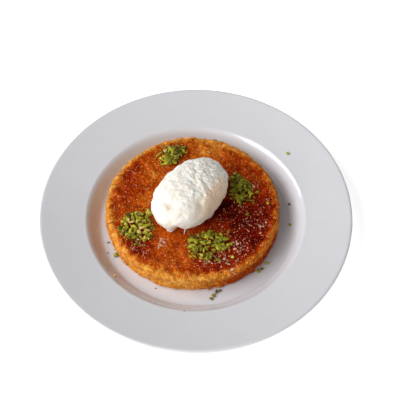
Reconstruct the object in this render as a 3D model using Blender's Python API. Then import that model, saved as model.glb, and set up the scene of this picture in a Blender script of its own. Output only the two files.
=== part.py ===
"""A round kunafa on its plate, with a scoop of clotted cream and four heaps of chopped pistachio.

The frame is in metres, with +Z up. The origin is the middle of the plate's foot ring, on the
surface that the plate stands on. The plate is looked at from -Y, with +X to the right.
"""

import math
from typing import NamedTuple

import bmesh
import bpy
import numpy as np
from mathutils import Matrix, Vector, geometry

MM = 0.001
GAP = 0.3 * MM  # clear space between pieces that rest on each other

# Plate: a wide-rimmed dinner plate with a round well.
PLATE_RADIUS = 120 * MM
PLATE_HEIGHT = 21.6 * MM
WELL_FLOOR = 6.0 * MM
WELL_FOOT_RADIUS = 72.5 * MM
SHOULDER_RADIUS = 85.5 * MM
SHOULDER_HEIGHT = 16.6 * MM
RIM_CURL = 0.15  # share of the rim's rise that comes late, as an upward curl
LIP_RADIUS = 1.7 * MM
PLATE_WALL = 3.6 * MM
UNDER_RIM_RADII = (108 * MM, 94 * MM, 86 * MM, 81 * MM)
FOOT_OUTER_RADIUS = 70.0 * MM
FOOT_INNER_RADIUS = 66.0 * MM
FOOT_FLARE = 6.0 * MM
FOOT_ROUND = 0.5 * MM
FOOT_RECESS = 2.4 * MM
PLATE_SEGMENTS = 64
WALL_STEPS = 7
RIM_STEPS = 4
LIP_STEPS = 6

# Kunafa: one flat round cake of browned pastry crumb, a little off the plate's middle.
KUNAFA_CENTRE = Vector((-2.2 * MM, 4.1 * MM, 0.0))
KUNAFA_RADIUS = 66.6 * MM
KUNAFA_HEIGHT = 17.0 * MM
KUNAFA_BOTTOM = WELL_FLOOR + GAP
KUNAFA_TOP = KUNAFA_BOTTOM + KUNAFA_HEIGHT
TOP_EDGE_ROUND = 3.6 * MM
BOTTOM_EDGE_ROUND = 1.6 * MM
CRUST_RELIEF = 1.5 * MM  # most that the crust's pits lie under its flat level
PIT_MEAN = 0.45
PIT_SWING = 0.55
CRUST_CELL = 11.0 * MM
CRUST_SEED = 8
SIDE_RELIEF = 0.54 * MM
SIDE_INSET = 0.36 * MM
SIDE_CELL = 9.0 * MM
SIDE_SEED = 9
KUNAFA_SEGMENTS = 84
CRUST_SPACING = 4.6 * MM
CRUST_BORDER = 0.7  # of the spacing, kept free inside the crust's edge
SIDE_LEVELS = (0.32, 0.5, 0.66)  # of the height, between the two rounded edges
# Each wave of the outline: lobes round the cake, share of the radius, phase.
OUTLINE_WAVES = ((2, 0.006, 0.4), (3, 0.004, 1.9), (5, 0.0035, 4.1), (9, 0.002, 2.6))

# Clotted cream: an oval scoop, flat below, that lies across the middle of the kunafa.
CREAM_CENTRE = Vector((-4.3 * MM, 4.9 * MM, 0.0))
CREAM_TURN = math.radians(48)
CREAM_HALF_LENGTH = 33.6 * MM
CREAM_HALF_WIDTH = 22.4 * MM
CREAM_HALF_HEIGHT = 19.4 * MM
CREAM_CUT = 0.72  # how far under its middle the scoop is flat, in half heights
CREAM_BOTTOM = KUNAFA_TOP + GAP
CREAM_SQUARENESS = 0.92  # below 1 the ends are fuller than an ellipsoid's
CREAM_CUTS = 13
FLANK_DIRECTION = Vector((0.80, -0.52, 0.28)).normalized()  # the side that the spoon smoothed
FLANK_REACH = 20.5 * MM
FLANK_FLATNESS = 0.85
CURD_RELIEF = 1.2 * MM
CURD_CELL = 12.0 * MM
CURD_SEED = 12
SKIRT_LOBES = 7
SKIRT_REACH = 0.05
SKIRT_PHASE = 1.4
BARE_FROM_CREAM = (1.02, 1.14)  # shares of the scoop's outline over which the crust turns bare

class Heap(NamedTuple):
    """A heap of chopped pistachio: its place and half sizes in millimetres, its turn in degrees."""

    x: float
    y: float
    half_length: float
    half_width: float
    turn: float
    count: int
    seed: int


# Chopped pistachio: four low heaps round the cream.
HEAPS = {
    "pistachio_heap_back": Heap(-19.5, 50.9, 13.0, 9.0, 35, 22, 11),
    "pistachio_heap_left": Heap(-43.6, -16.0, 16.5, 14.5, 60, 36, 23),
    "pistachio_heap_front": Heap(8.6, -32.6, 17.5, 13.5, 15, 36, 37),
    "pistachio_heap_right": Heap(34.6, 18.2, 15.0, 9.5, 110, 26, 41),
}
HEAP_HEIGHT = 5.0 * MM
HEAP_BOTTOM = KUNAFA_TOP + GAP
CORE_SHARE = 0.45  # the core's height, as a share of the heap's
DOME_POWER = 0.35  # low, so that the core's edge is steep and its top flat
HEAP_WAVES = ((3, 0.09, 0.0), (5, 0.05, 1.1))  # lobes, share of the reach, phase
HEAP_MARGIN = 2.0 * MM  # flat crust round a heap
BARE_FROM_HEAP = (0.95, 1.10)
CORE_FROM_CREAM = (0.95, 1.10)  # shares of the scoop's outline over which a core is drawn in
CORE_SEGMENTS = (18, 8)
NIB_HALF_SIZES = (1.8 * MM, 3.1 * MM)
NIB_WIDTHS = (0.6, 0.85)  # of the half length
NIB_HEIGHTS = (0.6, 0.85)
NIB_CORNERS = 9
NIB_TILT = 0.5
SPIRAL_SWING = 0.3
NIB_LIFT = (0.4 * MM, 1.2 * MM)
NIB_FOOTING = (0.05 * MM, 0.3 * MM)  # a piece's underside lies this far above the heap's
LOOSE_NIBS = (
    (39.9, -4.1),
    (48.0, 16.5),
    (17.1, -44.4),
    (24.5, -20.5),
    (-26.4, -13.9),
    (55.5, 6.0),
    (27.5, -42.0),
)
LOOSE_SEED = 5
GOLDEN_ANGLE = math.pi * (3 - math.sqrt(5))
WAVE_COUNT = 24
SMOOTH_UNDER = math.radians(40)
NIB_SMOOTH_UNDER = math.radians(20)

PORCELAIN = ("porcelain", (0.62, 0.62, 0.65), 0.18)
CRUST = ("browned_crust", (0.47, 0.13, 0.02), 0.38)
CREAM = ("clotted_cream", (0.90, 0.88, 0.82), 0.55)
PISTACHIO = ("pistachio", (0.30, 0.36, 0.05), 0.60)


def clear_scene():
    for obj in list(bpy.data.objects):
        bpy.data.objects.remove(obj)


def material(finish):
    name, colour, roughness = finish
    found = bpy.data.materials.get(name)
    if found:
        return found
    made = bpy.data.materials.new(name)
    made.use_nodes = True
    shader = made.node_tree.nodes["Principled BSDF"]
    shader.inputs["Base Color"].default_value = (*colour, 1.0)
    shader.inputs["Roughness"].default_value = roughness
    shader.inputs["Metallic"].default_value = 0.0
    return made


def object_from(name, bm, finish, sharp_angle=SMOOTH_UNDER):
    """Closes the mesh's normals outwards and puts it in the scene as one named object."""
    bmesh.ops.recalc_face_normals(bm, faces=bm.faces)
    mesh = bpy.data.meshes.new(name)
    bm.to_mesh(mesh)
    bm.free()
    mesh.shade_smooth()
    mesh.set_sharp_from_angle(angle=sharp_angle)
    mesh.materials.append(material(finish))
    obj = bpy.data.objects.new(name, mesh)
    bpy.context.scene.collection.objects.link(obj)
    return obj


def smooth_step(t):
    t = min(1.0, max(0.0, t))
    return t * t * (3 - 2 * t)


def smooth_between(low, high, value):
    """0 up to the low value, 1 from the high one, and a smooth rise between them."""
    return smooth_step((value - low) / (high - low))


def wave_set(seed, cell):
    """Waves in seeded directions, each about one cell long: their steps per metre and their phases."""
    rng = np.random.default_rng(seed)
    directions = rng.normal(size=(WAVE_COUNT, 3))
    directions /= np.linalg.norm(directions, axis=1, keepdims=True)
    lengths = cell * rng.uniform(0.6, 1.4, size=(WAVE_COUNT, 1))
    return 2 * math.pi * directions / lengths, rng.uniform(0, 2 * math.pi, WAVE_COUNT)


def unevenness(point, waves):
    """The waves' sum at a point: smooth, mostly between -1 and 1."""
    steps, phases = waves
    return float(np.cos(steps @ np.array(point) + phases).sum()) / math.sqrt(2 * WAVE_COUNT)


def plate_top(radius):
    """Height of the plate's upper face: flat floor, an S-shaped wall, then a rim that rises gently."""
    if radius <= SHOULDER_RADIUS:
        rise = (radius - WELL_FOOT_RADIUS) / (SHOULDER_RADIUS - WELL_FOOT_RADIUS)
        return WELL_FLOOR + (SHOULDER_HEIGHT - WELL_FLOOR) * smooth_step(rise)
    along = (radius - SHOULDER_RADIUS) / (PLATE_RADIUS - LIP_RADIUS - SHOULDER_RADIUS)
    rise = (1 - RIM_CURL) * along + RIM_CURL * along**2
    return SHOULDER_HEIGHT + (PLATE_HEIGHT - SHOULDER_HEIGHT) * rise


def plate_profile():
    """(radius, height) from the middle of the top, round the lip and the foot, to the middle below."""
    wall_width = SHOULDER_RADIUS - WELL_FOOT_RADIUS
    wall = [WELL_FOOT_RADIUS + wall_width * k / WALL_STEPS for k in range(WALL_STEPS + 1)]
    rim_end = PLATE_RADIUS - LIP_RADIUS
    rim_width = rim_end - SHOULDER_RADIUS
    rim = [SHOULDER_RADIUS + rim_width * k / RIM_STEPS for k in range(1, RIM_STEPS + 1)]
    upper = [(r, plate_top(r)) for r in [0.0, WELL_FOOT_RADIUS / 2, *wall, *rim]]
    turns = [math.pi * k / LIP_STEPS for k in range(1, LIP_STEPS + 1)]
    lip_middle = PLATE_HEIGHT - LIP_RADIUS
    lip = [(rim_end + LIP_RADIUS * math.sin(a), lip_middle + LIP_RADIUS * math.cos(a)) for a in turns]
    under_rim = [(r, plate_top(r) - PLATE_WALL) for r in UNDER_RIM_RADII]
    foot = [
        (FOOT_OUTER_RADIUS + FOOT_FLARE, WELL_FLOOR - 2 * FOOT_ROUND),
        (FOOT_OUTER_RADIUS + 2 * FOOT_ROUND, 4 * FOOT_ROUND),
        (FOOT_OUTER_RADIUS + FOOT_ROUND, FOOT_ROUND),
        (FOOT_OUTER_RADIUS, 0.0),
        (FOOT_INNER_RADIUS, 0.0),
        (FOOT_INNER_RADIUS - FOOT_ROUND, FOOT_ROUND),
        (FOOT_INNER_RADIUS - 3 * FOOT_ROUND, FOOT_RECESS),
        (0.0, FOOT_RECESS),
    ]
    return upper + lip + under_rim + foot


def build_plate():
    """The profile is spun round +Z, and its two ends close on the axis."""
    bm = bmesh.new()
    verts = [bm.verts.new((r, 0.0, z)) for r, z in plate_profile()]
    edges = [bm.edges.new(pair) for pair in zip(verts, verts[1:])]
    bmesh.ops.spin(
        bm,
        geom=verts + edges,
        axis=(0, 0, 1),
        cent=(0, 0, 0),
        angle=2 * math.pi,
        steps=PLATE_SEGMENTS,
        use_merge=True,
    )
    bmesh.ops.remove_doubles(bm, verts=bm.verts, dist=0.01 * MM)
    return object_from("plate", bm, PORCELAIN)


def outline_share(angle):
    """The kunafa's radius at this angle, as a share of its mean radius."""
    return 1.0 + sum(share * math.cos(lobes * angle + phase) for lobes, share, phase in OUTLINE_WAVES)


def cream_across(x, y):
    """1 on the scoop's widest outline seen from above, less inside it and more outside."""
    from_middle = Matrix.Rotation(-CREAM_TURN, 2) @ Vector((x - CREAM_CENTRE.x, y - CREAM_CENTRE.y))
    return math.hypot(from_middle.x / CREAM_HALF_LENGTH, from_middle.y / CREAM_HALF_WIDTH)


def heap_across(x, y, heap):
    """1 a margin outside the heap's mean outline, less nearer to its middle and more outside."""
    off_middle = Vector((x - heap.x * MM, y - heap.y * MM))
    local = Matrix.Rotation(-math.radians(heap.turn), 2) @ off_middle
    along = local.x / (heap.half_length * MM + HEAP_MARGIN)
    return math.hypot(along, local.y / (heap.half_width * MM + HEAP_MARGIN))


def bare_share(x, y):
    """0 under the toppings, where the crust is flat, and 1 where it is bare."""
    shares = [smooth_between(*BARE_FROM_CREAM, cream_across(x, y))]
    shares += [smooth_between(*BARE_FROM_HEAP, heap_across(x, y, heap)) for heap in HEAPS.values()]
    return min(shares)


def crust_depth(x, y, waves):
    """How far the crust lies under its flat level here: none under the toppings, and pits elsewhere."""
    pits = PIT_MEAN + PIT_SWING * unevenness((x, y, 0.0), waves)
    return CRUST_RELIEF * bare_share(x, y) * min(1.0, max(0.0, pits))


def kunafa_side():
    """(inset from the widest radius, height) up the side: a rounded foot, a wall and a rounded edge."""
    foot = [
        (BOTTOM_EDGE_ROUND * (1 - math.sin(a)), KUNAFA_BOTTOM + BOTTOM_EDGE_ROUND * (1 - math.cos(a)))
        for a in (0.0, math.pi / 4, math.pi / 2)
    ]
    wall = [(0.0, KUNAFA_BOTTOM + KUNAFA_HEIGHT * share) for share in SIDE_LEVELS]
    top = [
        (TOP_EDGE_ROUND * (1 - math.cos(a)), KUNAFA_TOP - TOP_EDGE_ROUND * (1 - math.sin(a)))
        for a in (math.pi * k / 8 for k in range(5))
    ]
    return foot + wall + top


def kunafa_ring(bm, inset, height, crust_waves, side_waves):
    """One closed ring of corners up the side, moved in or out, and down near the top, by the relief."""
    ring = []
    for k in range(KUNAFA_SEGMENTS):
        angle = 2 * math.pi * k / KUNAFA_SEGMENTS
        outward = Vector((math.cos(angle), math.sin(angle), 0.0))
        place = KUNAFA_CENTRE + outward * (KUNAFA_RADIUS * outline_share(angle) - inset)
        place.z = height
        if height > KUNAFA_BOTTOM:
            place += outward * (SIDE_RELIEF * unevenness(place, side_waves) - SIDE_INSET)
        near_top = smooth_step(1 - (KUNAFA_TOP - height) / TOP_EDGE_ROUND)
        place.z -= near_top * crust_depth(place.x, place.y, crust_waves)
        ring.append(bm.verts.new(place))
    return ring


def crust_grid(inset):
    """(x, y) of a honeycomb of corners that stays inside the crust's edge."""
    half_count = math.ceil(KUNAFA_RADIUS / CRUST_SPACING) + 1
    row_step = CRUST_SPACING * math.sqrt(3) / 2
    spots = []
    for row in range(-half_count - 2, half_count + 3):
        for column in range(-half_count, half_count + 1):
            along = Vector(((column + 0.5 * (row % 2)) * CRUST_SPACING, row * row_step))
            edge = KUNAFA_RADIUS * outline_share(math.atan2(along.y, along.x)) - inset
            if along.length < edge - CRUST_BORDER * CRUST_SPACING:
                spots.append(KUNAFA_CENTRE.xy + along)
    return spots


def fill_crust(bm, edge_ring, inset, crust_waves):
    """Closes the top inside its edge: a honeycomb of corners, joined by a Delaunay triangulation."""
    outline = [vert.co.xy for vert in edge_ring]
    borders = [(k, (k + 1) % len(outline)) for k in range(len(outline))]
    inside_only = 1
    filled = geometry.delaunay_2d_cdt(outline + crust_grid(inset), borders, [], inside_only, GAP / 100)
    points, _, triangles, sources, *_ = filled
    corners = []
    for point, source in zip(points, sources):
        if source[0] < len(outline):
            corners.append(edge_ring[source[0]])
        else:
            height = KUNAFA_TOP - crust_depth(point.x, point.y, crust_waves)
            corners.append(bm.verts.new((point.x, point.y, height)))
    for triangle in triangles:
        bm.faces.new([corners[k] for k in triangle])


def build_kunafa():
    """Rings from the flat underside up the side, the crust on top, and loose pieces of nut fused on."""
    bm = bmesh.new()
    crust_waves = wave_set(CRUST_SEED, CRUST_CELL)
    side_waves = wave_set(SIDE_SEED, SIDE_CELL)
    side = kunafa_side()
    rings = [kunafa_ring(bm, inset, height, crust_waves, side_waves) for inset, height in side]
    for lower, upper in zip(rings, rings[1:]):
        for k in range(KUNAFA_SEGMENTS):
            after = (k + 1) % KUNAFA_SEGMENTS
            bm.faces.new((lower[k], lower[after], upper[after], upper[k]))
    bm.faces.new(list(reversed(rings[0])))
    fill_crust(bm, rings[-1], side[-1][0], crust_waves)
    kunafa = object_from("kunafa", bm, CRUST)
    spots = np.array([(x * MM, y * MM, KUNAFA_TOP) for x, y in LOOSE_NIBS])
    pieces = nib_shapes(np.random.default_rng(LOOSE_SEED), spots)
    fuse(kunafa, [add_nib(corners, KUNAFA_BOTTOM) for corners in pieces])
    return kunafa


def cream_point(unit, waves):
    """A point of the unit sphere moved to the scoop: full ends, a smooth flank, a lobed skirt and curds."""
    full = Vector(math.copysign(abs(c) ** CREAM_SQUARENESS, c) for c in unit)
    low = smooth_step(-unit.z / CREAM_CUT)
    lobes = 1 + SKIRT_REACH * low * math.sin(SKIRT_LOBES * math.atan2(unit.y, unit.x) + SKIRT_PHASE)
    along = full.x * CREAM_HALF_LENGTH * lobes
    across = full.y * CREAM_HALF_WIDTH * lobes
    point = Matrix.Rotation(CREAM_TURN, 3, "Z") @ Vector((along, across, full.z * CREAM_HALF_HEIGHT))
    over = max(0.0, point.dot(FLANK_DIRECTION) - FLANK_REACH)
    point -= FLANK_DIRECTION * over * FLANK_FLATNESS
    return point * (1 + CURD_RELIEF * unevenness(point, waves) / point.length)


def build_cream():
    """A cube blown up to a sphere, moved to the scoop's form, and cut flat where it lies on the crust."""
    bm = bmesh.new()
    bmesh.ops.create_cube(bm, size=2.0)
    bmesh.ops.subdivide_edges(bm, edges=bm.edges[:], cuts=CREAM_CUTS, use_grid_fill=True)
    waves = wave_set(CURD_SEED, CURD_CELL)
    for vert in bm.verts:
        vert.co = cream_point(vert.co.normalized(), waves)
    cut_height = -CREAM_CUT * CREAM_HALF_HEIGHT
    cut_flat(bm, cut_height)
    lift = Vector((CREAM_CENTRE.x, CREAM_CENTRE.y, CREAM_BOTTOM - cut_height))
    bmesh.ops.translate(bm, verts=bm.verts, vec=lift)
    return object_from("clotted_cream", bm, CREAM)


def cut_flat(bm, height):
    """Cuts away what lies under this height, and closes the cut."""
    everything = bm.verts[:] + bm.edges[:] + bm.faces[:]
    middle = (0, 0, height)
    bmesh.ops.bisect_plane(bm, geom=everything, plane_co=middle, plane_no=(0, 0, 1), clear_inner=True)
    bmesh.ops.contextual_create(bm, geom=[edge for edge in bm.edges if edge.is_boundary])


def nib_shapes(rng, spots):
    """Corners of a chopped piece at each spot: directions spread at random, scaled to a block, turned."""
    count = len(spots)
    half_lengths = rng.uniform(*NIB_HALF_SIZES, (count, 1, 1))
    widths = rng.uniform(*NIB_WIDTHS, (count, 1))
    heights = rng.uniform(*NIB_HEIGHTS, (count, 1))
    shares = np.stack([np.ones((count, 1)), widths, heights], axis=-1)
    spread = rng.normal(size=(count, NIB_CORNERS, 3))
    corners = spread / np.linalg.norm(spread, axis=2, keepdims=True) * half_lengths * shares
    spins = rng.uniform(0, 2 * math.pi, count)
    tilts = rng.uniform(-NIB_TILT, NIB_TILT, count)
    turns = [Matrix.Rotation(s, 3, "Z") @ Matrix.Rotation(t, 3, "X") for s, t in zip(spins, tilts)]
    return corners @ np.array(turns).transpose(0, 2, 1) + spots[:, None, :]


def add_nib(corners, lowest):
    """A chopped piece of nut: the convex hull of its corners, none of them under the lowest level."""
    bm = bmesh.new()
    verts = [bm.verts.new((x, y, max(z, lowest))) for x, y, z in corners]
    hull = bmesh.ops.convex_hull(bm, input=verts)
    inside = [v for v in hull["geom_interior"] if isinstance(v, bmesh.types.BMVert)]
    bmesh.ops.delete(bm, geom=inside, context="VERTS")
    return object_from("nib", bm, PISTACHIO, sharp_angle=NIB_SMOOTH_UNDER)


def fuse(target, others):
    """Joins the others to the target by one Boolean union, and removes what stood alone."""
    group = bpy.data.collections.new(target.name + "_pieces")
    bpy.context.scene.collection.children.link(group)
    for other in others:
        bpy.context.scene.collection.objects.unlink(other)
        group.objects.link(other)
    union = target.modifiers.new("fuse", "BOOLEAN")
    union.operation = "UNION"
    union.operand_type = "COLLECTION"
    union.collection = group
    graph = bpy.context.evaluated_depsgraph_get()
    joined = bpy.data.meshes.new_from_object(target.evaluated_get(graph))
    target.modifiers.clear()
    target.data = joined
    for other in others:
        bpy.data.objects.remove(other)
    bpy.data.collections.remove(group)
    keep_outer_shell(joined)


def keep_outer_shell(mesh):
    """Fills a hollow that fusing sealed and drops a loose scrap: only the largest shell stays."""
    bm = bmesh.new()
    bm.from_mesh(mesh)
    shells, seen = [], set()
    for start in bm.verts:
        if start in seen:
            continue
        shell, stack = [], [start]
        seen.add(start)
        while stack:
            vert = stack.pop()
            shell.append(vert)
            for edge in vert.link_edges:
                other = edge.other_vert(vert)
                if other not in seen:
                    seen.add(other)
                    stack.append(other)
        shells.append(shell)
    largest = max(shells, key=len)
    for shell in shells:
        if shell is not largest:
            bmesh.ops.delete(bm, geom=shell, context="VERTS")
    bm.to_mesh(mesh)
    bm.free()


def core_rise(reach):
    """Height of a heap's core at this share of its reach: nearly flat, with a steep edge."""
    return HEAP_HEIGHT * CORE_SHARE * max(0.0, 1 - reach**2) ** DOME_POWER


def core_spot(heap, reach, angle):
    """(x, y) on the heap's core at a share of its reach, out to a lobed and turned oval."""
    lobes = 1 + sum(share * math.cos(count * angle + phase) for count, share, phase in HEAP_WAVES)
    spread = reach * lobes
    half_length = heap.half_length * MM - NIB_HALF_SIZES[0]
    half_width = heap.half_width * MM - NIB_HALF_SIZES[0]
    local = Vector((spread * half_length * math.cos(angle), spread * half_width * math.sin(angle)))
    return Vector((heap.x * MM, heap.y * MM)) + Matrix.Rotation(math.radians(heap.turn), 2) @ local


def heap_core(name, heap):
    """A low closed dome that holds the heap's pieces together, drawn in where the cream lies."""
    bm = bmesh.new()
    around, upward = CORE_SEGMENTS
    bmesh.ops.create_uvsphere(bm, u_segments=around, v_segments=upward, radius=1.0)
    cut_flat(bm, 0.0)
    middle = Vector((heap.x * MM, heap.y * MM))
    for vert in bm.verts:
        reach = math.hypot(vert.co.x, vert.co.y)
        spot = core_spot(heap, reach, math.atan2(vert.co.y, vert.co.x))
        away = smooth_between(*CORE_FROM_CREAM, cream_across(*spot))
        vert.co = (*middle.lerp(spot, away), HEAP_BOTTOM + core_rise(reach))
    return object_from(name, bm, PISTACHIO)


def heap_spots(rng, heap):
    """Middles of a heap's pieces on its core, by a sunflower spiral so that they cover it evenly."""
    spots = []
    for k in range(heap.count):
        reach = math.sqrt((k + 0.5) / heap.count)
        angle = k * GOLDEN_ANGLE + rng.uniform(-SPIRAL_SWING, SPIRAL_SWING)
        x, y = core_spot(heap, reach, angle)
        z = HEAP_BOTTOM + core_rise(reach) + rng.uniform(*NIB_LIFT)
        room = (cream_across(x, y) - 1) * CREAM_HALF_WIDTH
        if room > NIB_HALF_SIZES[1] + GAP:
            spots.append((x, y, z))
    return np.array(spots)


def build_heap(name, heap):
    """Nut pieces half sunk in a low core, one solid out to the heap's uneven outline."""
    rng = np.random.default_rng(heap.seed)
    core = heap_core(name, heap)
    pieces = nib_shapes(rng, heap_spots(rng, heap))
    lowest = HEAP_BOTTOM + rng.uniform(*NIB_FOOTING, len(pieces))
    fuse(core, [add_nib(corners, level) for corners, level in zip(pieces, lowest)])
    return core


def build():
    clear_scene()
    build_plate()
    build_kunafa()
    build_cream()
    for name, heap in HEAPS.items():
        build_heap(name, heap)


build()
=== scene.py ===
# %% [markdown]
# # Kunafa with clotted cream, on its plate
#
# A kunafa is a flat round cake of fine pastry crumb, browned in butter and soaked in syrup. This one
# lies in the well of a wide-rimmed plate, under an oval scoop of clotted cream and four small heaps
# of chopped pistachio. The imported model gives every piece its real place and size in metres. The
# lesson puts a fine surface over each of those solids, one kind of food at a time.

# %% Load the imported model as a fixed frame
import itertools
import math

import bpy
import numpy as np
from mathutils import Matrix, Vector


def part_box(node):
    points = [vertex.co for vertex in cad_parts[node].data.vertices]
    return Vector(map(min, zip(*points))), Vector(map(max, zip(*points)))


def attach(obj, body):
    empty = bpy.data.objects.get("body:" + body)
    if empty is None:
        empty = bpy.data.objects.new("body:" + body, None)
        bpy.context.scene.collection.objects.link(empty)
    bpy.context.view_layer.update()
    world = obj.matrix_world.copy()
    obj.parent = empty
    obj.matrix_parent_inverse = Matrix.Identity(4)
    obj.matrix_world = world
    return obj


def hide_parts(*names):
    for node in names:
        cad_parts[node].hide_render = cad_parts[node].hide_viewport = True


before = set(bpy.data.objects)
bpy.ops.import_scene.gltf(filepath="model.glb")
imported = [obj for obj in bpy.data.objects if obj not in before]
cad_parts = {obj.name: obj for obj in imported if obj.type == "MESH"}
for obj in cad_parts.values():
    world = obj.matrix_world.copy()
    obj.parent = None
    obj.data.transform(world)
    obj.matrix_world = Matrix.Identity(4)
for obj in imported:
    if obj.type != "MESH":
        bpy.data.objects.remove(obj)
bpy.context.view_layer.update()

print("nodes:", sorted(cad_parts))

# %% [markdown]
# ## Tools of the lesson
#
# Every new surface is a set of numpy arrays: one array of points, worked out by a formula over the
# whole grid at once, and one of face corners. `foreach_set` then hands them to Blender in one go,
# which is far quicker than making faces one by one. Closed pieces are rings of points stacked from
# a pole below to a pole above, so that no seam or hole is left.

# %% Meshes from arrays
MM = 0.001


def new_mesh(name, points, corners, sizes=None):
    """A mesh from arrays: points, the corner numbers of all faces, and each face's corner count. Without
    counts, every face has four corners."""
    corners = np.asarray(corners, np.int32).ravel()
    sizes = np.full(len(corners) // 4, 4) if sizes is None else sizes
    mesh = bpy.data.meshes.new(name)
    mesh.vertices.add(len(points))
    mesh.vertices.foreach_set("co", np.asarray(points, np.float32).ravel())
    mesh.loops.add(len(corners))
    mesh.loops.foreach_set("vertex_index", corners)
    mesh.polygons.add(len(sizes))
    mesh.polygons.foreach_set("loop_start", np.asarray(np.cumsum(sizes) - sizes, np.int32))
    mesh.update(calc_edges=True)
    mesh.validate()
    mesh.shade_smooth()
    return mesh


def ring_faces(rows, columns):
    """Faces of a closed stack of rings: quads between rings, and a fan at the one point of each pole."""
    ring = np.arange(columns)
    after = (ring + 1) % columns
    start = 1 + columns * np.arange(rows - 3)[:, None]
    above = start + columns
    quads = np.stack([start + ring, start + after, above + after, above + ring], axis=-1)
    last_ring = 1 + columns * (rows - 3)
    foot = np.stack([0 * ring, 1 + after, 1 + ring], axis=-1)
    crown = np.stack([0 * ring + last_ring + columns, last_ring + ring, last_ring + after], axis=-1)
    corners = np.concatenate([foot.ravel(), quads.ravel(), crown.ravel()])
    sizes = np.concatenate([np.full(columns, 3), np.full(quads.size // 4, 4), np.full(columns, 3)])
    return corners, sizes


def stacked_rings(rings):
    """Points and faces of a closed surface from a (rows, columns, 3) array whose end rows are poles."""
    points = np.concatenate([rings[:1, 0], rings[1:-1].reshape(-1, 3), rings[-1:, 0]])
    return points, *ring_faces(*rings.shape[:2])


print("faces of two poles and two rings of six points:", len(ring_faces(4, 6)[1]))


# %% Pieces in the scene
def add_object(name, data):
    """An object in the scene that shows a mesh, a light or a camera."""
    made = bpy.data.objects.new(name, data)
    bpy.context.scene.collection.objects.link(made)
    return made


def add_piece(mesh, slot, *replaced):
    """Puts a finished mesh in the scene as a piece of the one body, for the solids that it replaces."""
    piece = add_object(mesh.name, mesh)
    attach(piece, "root")
    if replaced:
        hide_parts(*replaced)
    triangles = sum(len(face.vertices) - 2 for face in mesh.polygons)
    print(f"{mesh.name}: {triangles} triangles")
    return piece


# %% [markdown]
# ## Unevenness
#
# Food is uneven at several sizes. `unevenness` is smooth: it adds cosine waves that run in seeded
# directions, each about one cell long, and it is the same formula that shapes the solids. `grains`
# is for crumb and curds: space is cut into cells with one seed point each, and a point's value is
# its distance to the nearest seed, so every seed becomes a small mound. Whole-number hashing gives
# each cell its seed without any table.

# %% Two kinds of unevenness
WAVE_COUNT = 24
WAVE_LENGTHS = (0.6, 1.4)  # shortest and longest, in cells
HASH_PRIMES = (73856093, 19349663, 83492791)
HASH_MIX = (0x45D9F3B, 0x9E3779B1)
LOW_32_BITS = 0xFFFFFFFF


def smooth_between(low, high, value):
    """With t from 0 at the low value to 1 at the high one, and held at both ends: 3t^2 - 2t^3."""
    t = np.clip((value - low) / (high - low), 0.0, 1.0)
    return t * t * (3 - 2 * t)


def unit_vectors(rng, count):
    """Random directions, spread evenly over a ball."""
    vectors = rng.normal(size=(count, 3))
    return vectors / np.linalg.norm(vectors, axis=1, keepdims=True)


def unevenness(points, cell, seed):
    """Sum of cos(step . point + phase) over waves in seeded directions, each about one cell long, scaled
    to lie mostly between -1 and 1."""
    rng = np.random.default_rng(seed)
    directions = unit_vectors(rng, WAVE_COUNT)
    lengths = cell * rng.uniform(*WAVE_LENGTHS, size=(WAVE_COUNT, 1))
    phases = rng.uniform(0, 2 * math.pi, WAVE_COUNT)
    waves = np.cos(points @ (2 * math.pi * directions / lengths).T + phases)
    return waves.sum(axis=-1) / math.sqrt(2 * WAVE_COUNT)


def hashed(cells, seed):
    """A number from 0 to 1 for each whole-number cell: its products with primes, mixed by shifts."""
    mixed = sum(cells[..., k] * prime for k, prime in enumerate(HASH_PRIMES)) + seed * HASH_MIX[1]
    for factor in HASH_MIX:
        mixed = ((mixed ^ ((mixed & LOW_32_BITS) >> 15)) * factor) & LOW_32_BITS
    return (mixed ^ (mixed >> 16)) / LOW_32_BITS


def grains(points, cell, seed):
    """Distance to the nearest seed point, in cells, and a random tone of that seed's own."""
    scaled = points / cell
    base = np.floor(scaled).astype(np.int64)
    nearest = np.full(len(points), np.inf)
    tone = np.zeros(len(points))
    for step in itertools.product((-1, 0, 1), repeat=3):
        there = base + step
        place = there + np.stack([hashed(there, seed + k) for k in range(3)], axis=1)
        distance = np.linalg.norm(scaled - place, axis=1)
        tone = np.where(distance < nearest, hashed(there, seed + 3), tone)
        nearest = np.minimum(nearest, distance)
    return nearest, tone


print("sample of the unevenness:", unevenness(np.eye(3) * MM, 5 * MM, 1).round(3))

# %% [markdown]
# ## Sizes
#
# The frame's boxes give the main sizes, so that the fine surfaces fit the solids. The rest are the
# same driving sizes from which the solids were made: the plate's profile, the cake's outline and
# the scoop's turn.

# %% Sizes from the frame and of the pieces
_, plate_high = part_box("plate")
kunafa_low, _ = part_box("kunafa")
cream_low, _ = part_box("clotted_cream")

GAP = 0.3 * MM
PLATE_RADIUS = plate_high.x
PLATE_HEIGHT = plate_high.z
WELL_FLOOR = kunafa_low.z - GAP
WELL_FOOT_RADIUS = 72.5 * MM
SHOULDER_RADIUS = 85.5 * MM
SHOULDER_HEIGHT = 16.6 * MM
RIM_CURL = 0.15  # share of the rim's rise that comes late, as an upward curl
LIP_RADIUS = 1.7 * MM
PLATE_WALL = 3.6 * MM
UNDER_RIM_RADII = (108 * MM, 94 * MM, 86 * MM, 81 * MM)
FOOT_OUTER_RADIUS = 70.0 * MM
FOOT_INNER_RADIUS = 66.0 * MM
FOOT_FLARE = 6.0 * MM
FOOT_ROUND = 0.5 * MM
FOOT_RECESS = 2.4 * MM

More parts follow.
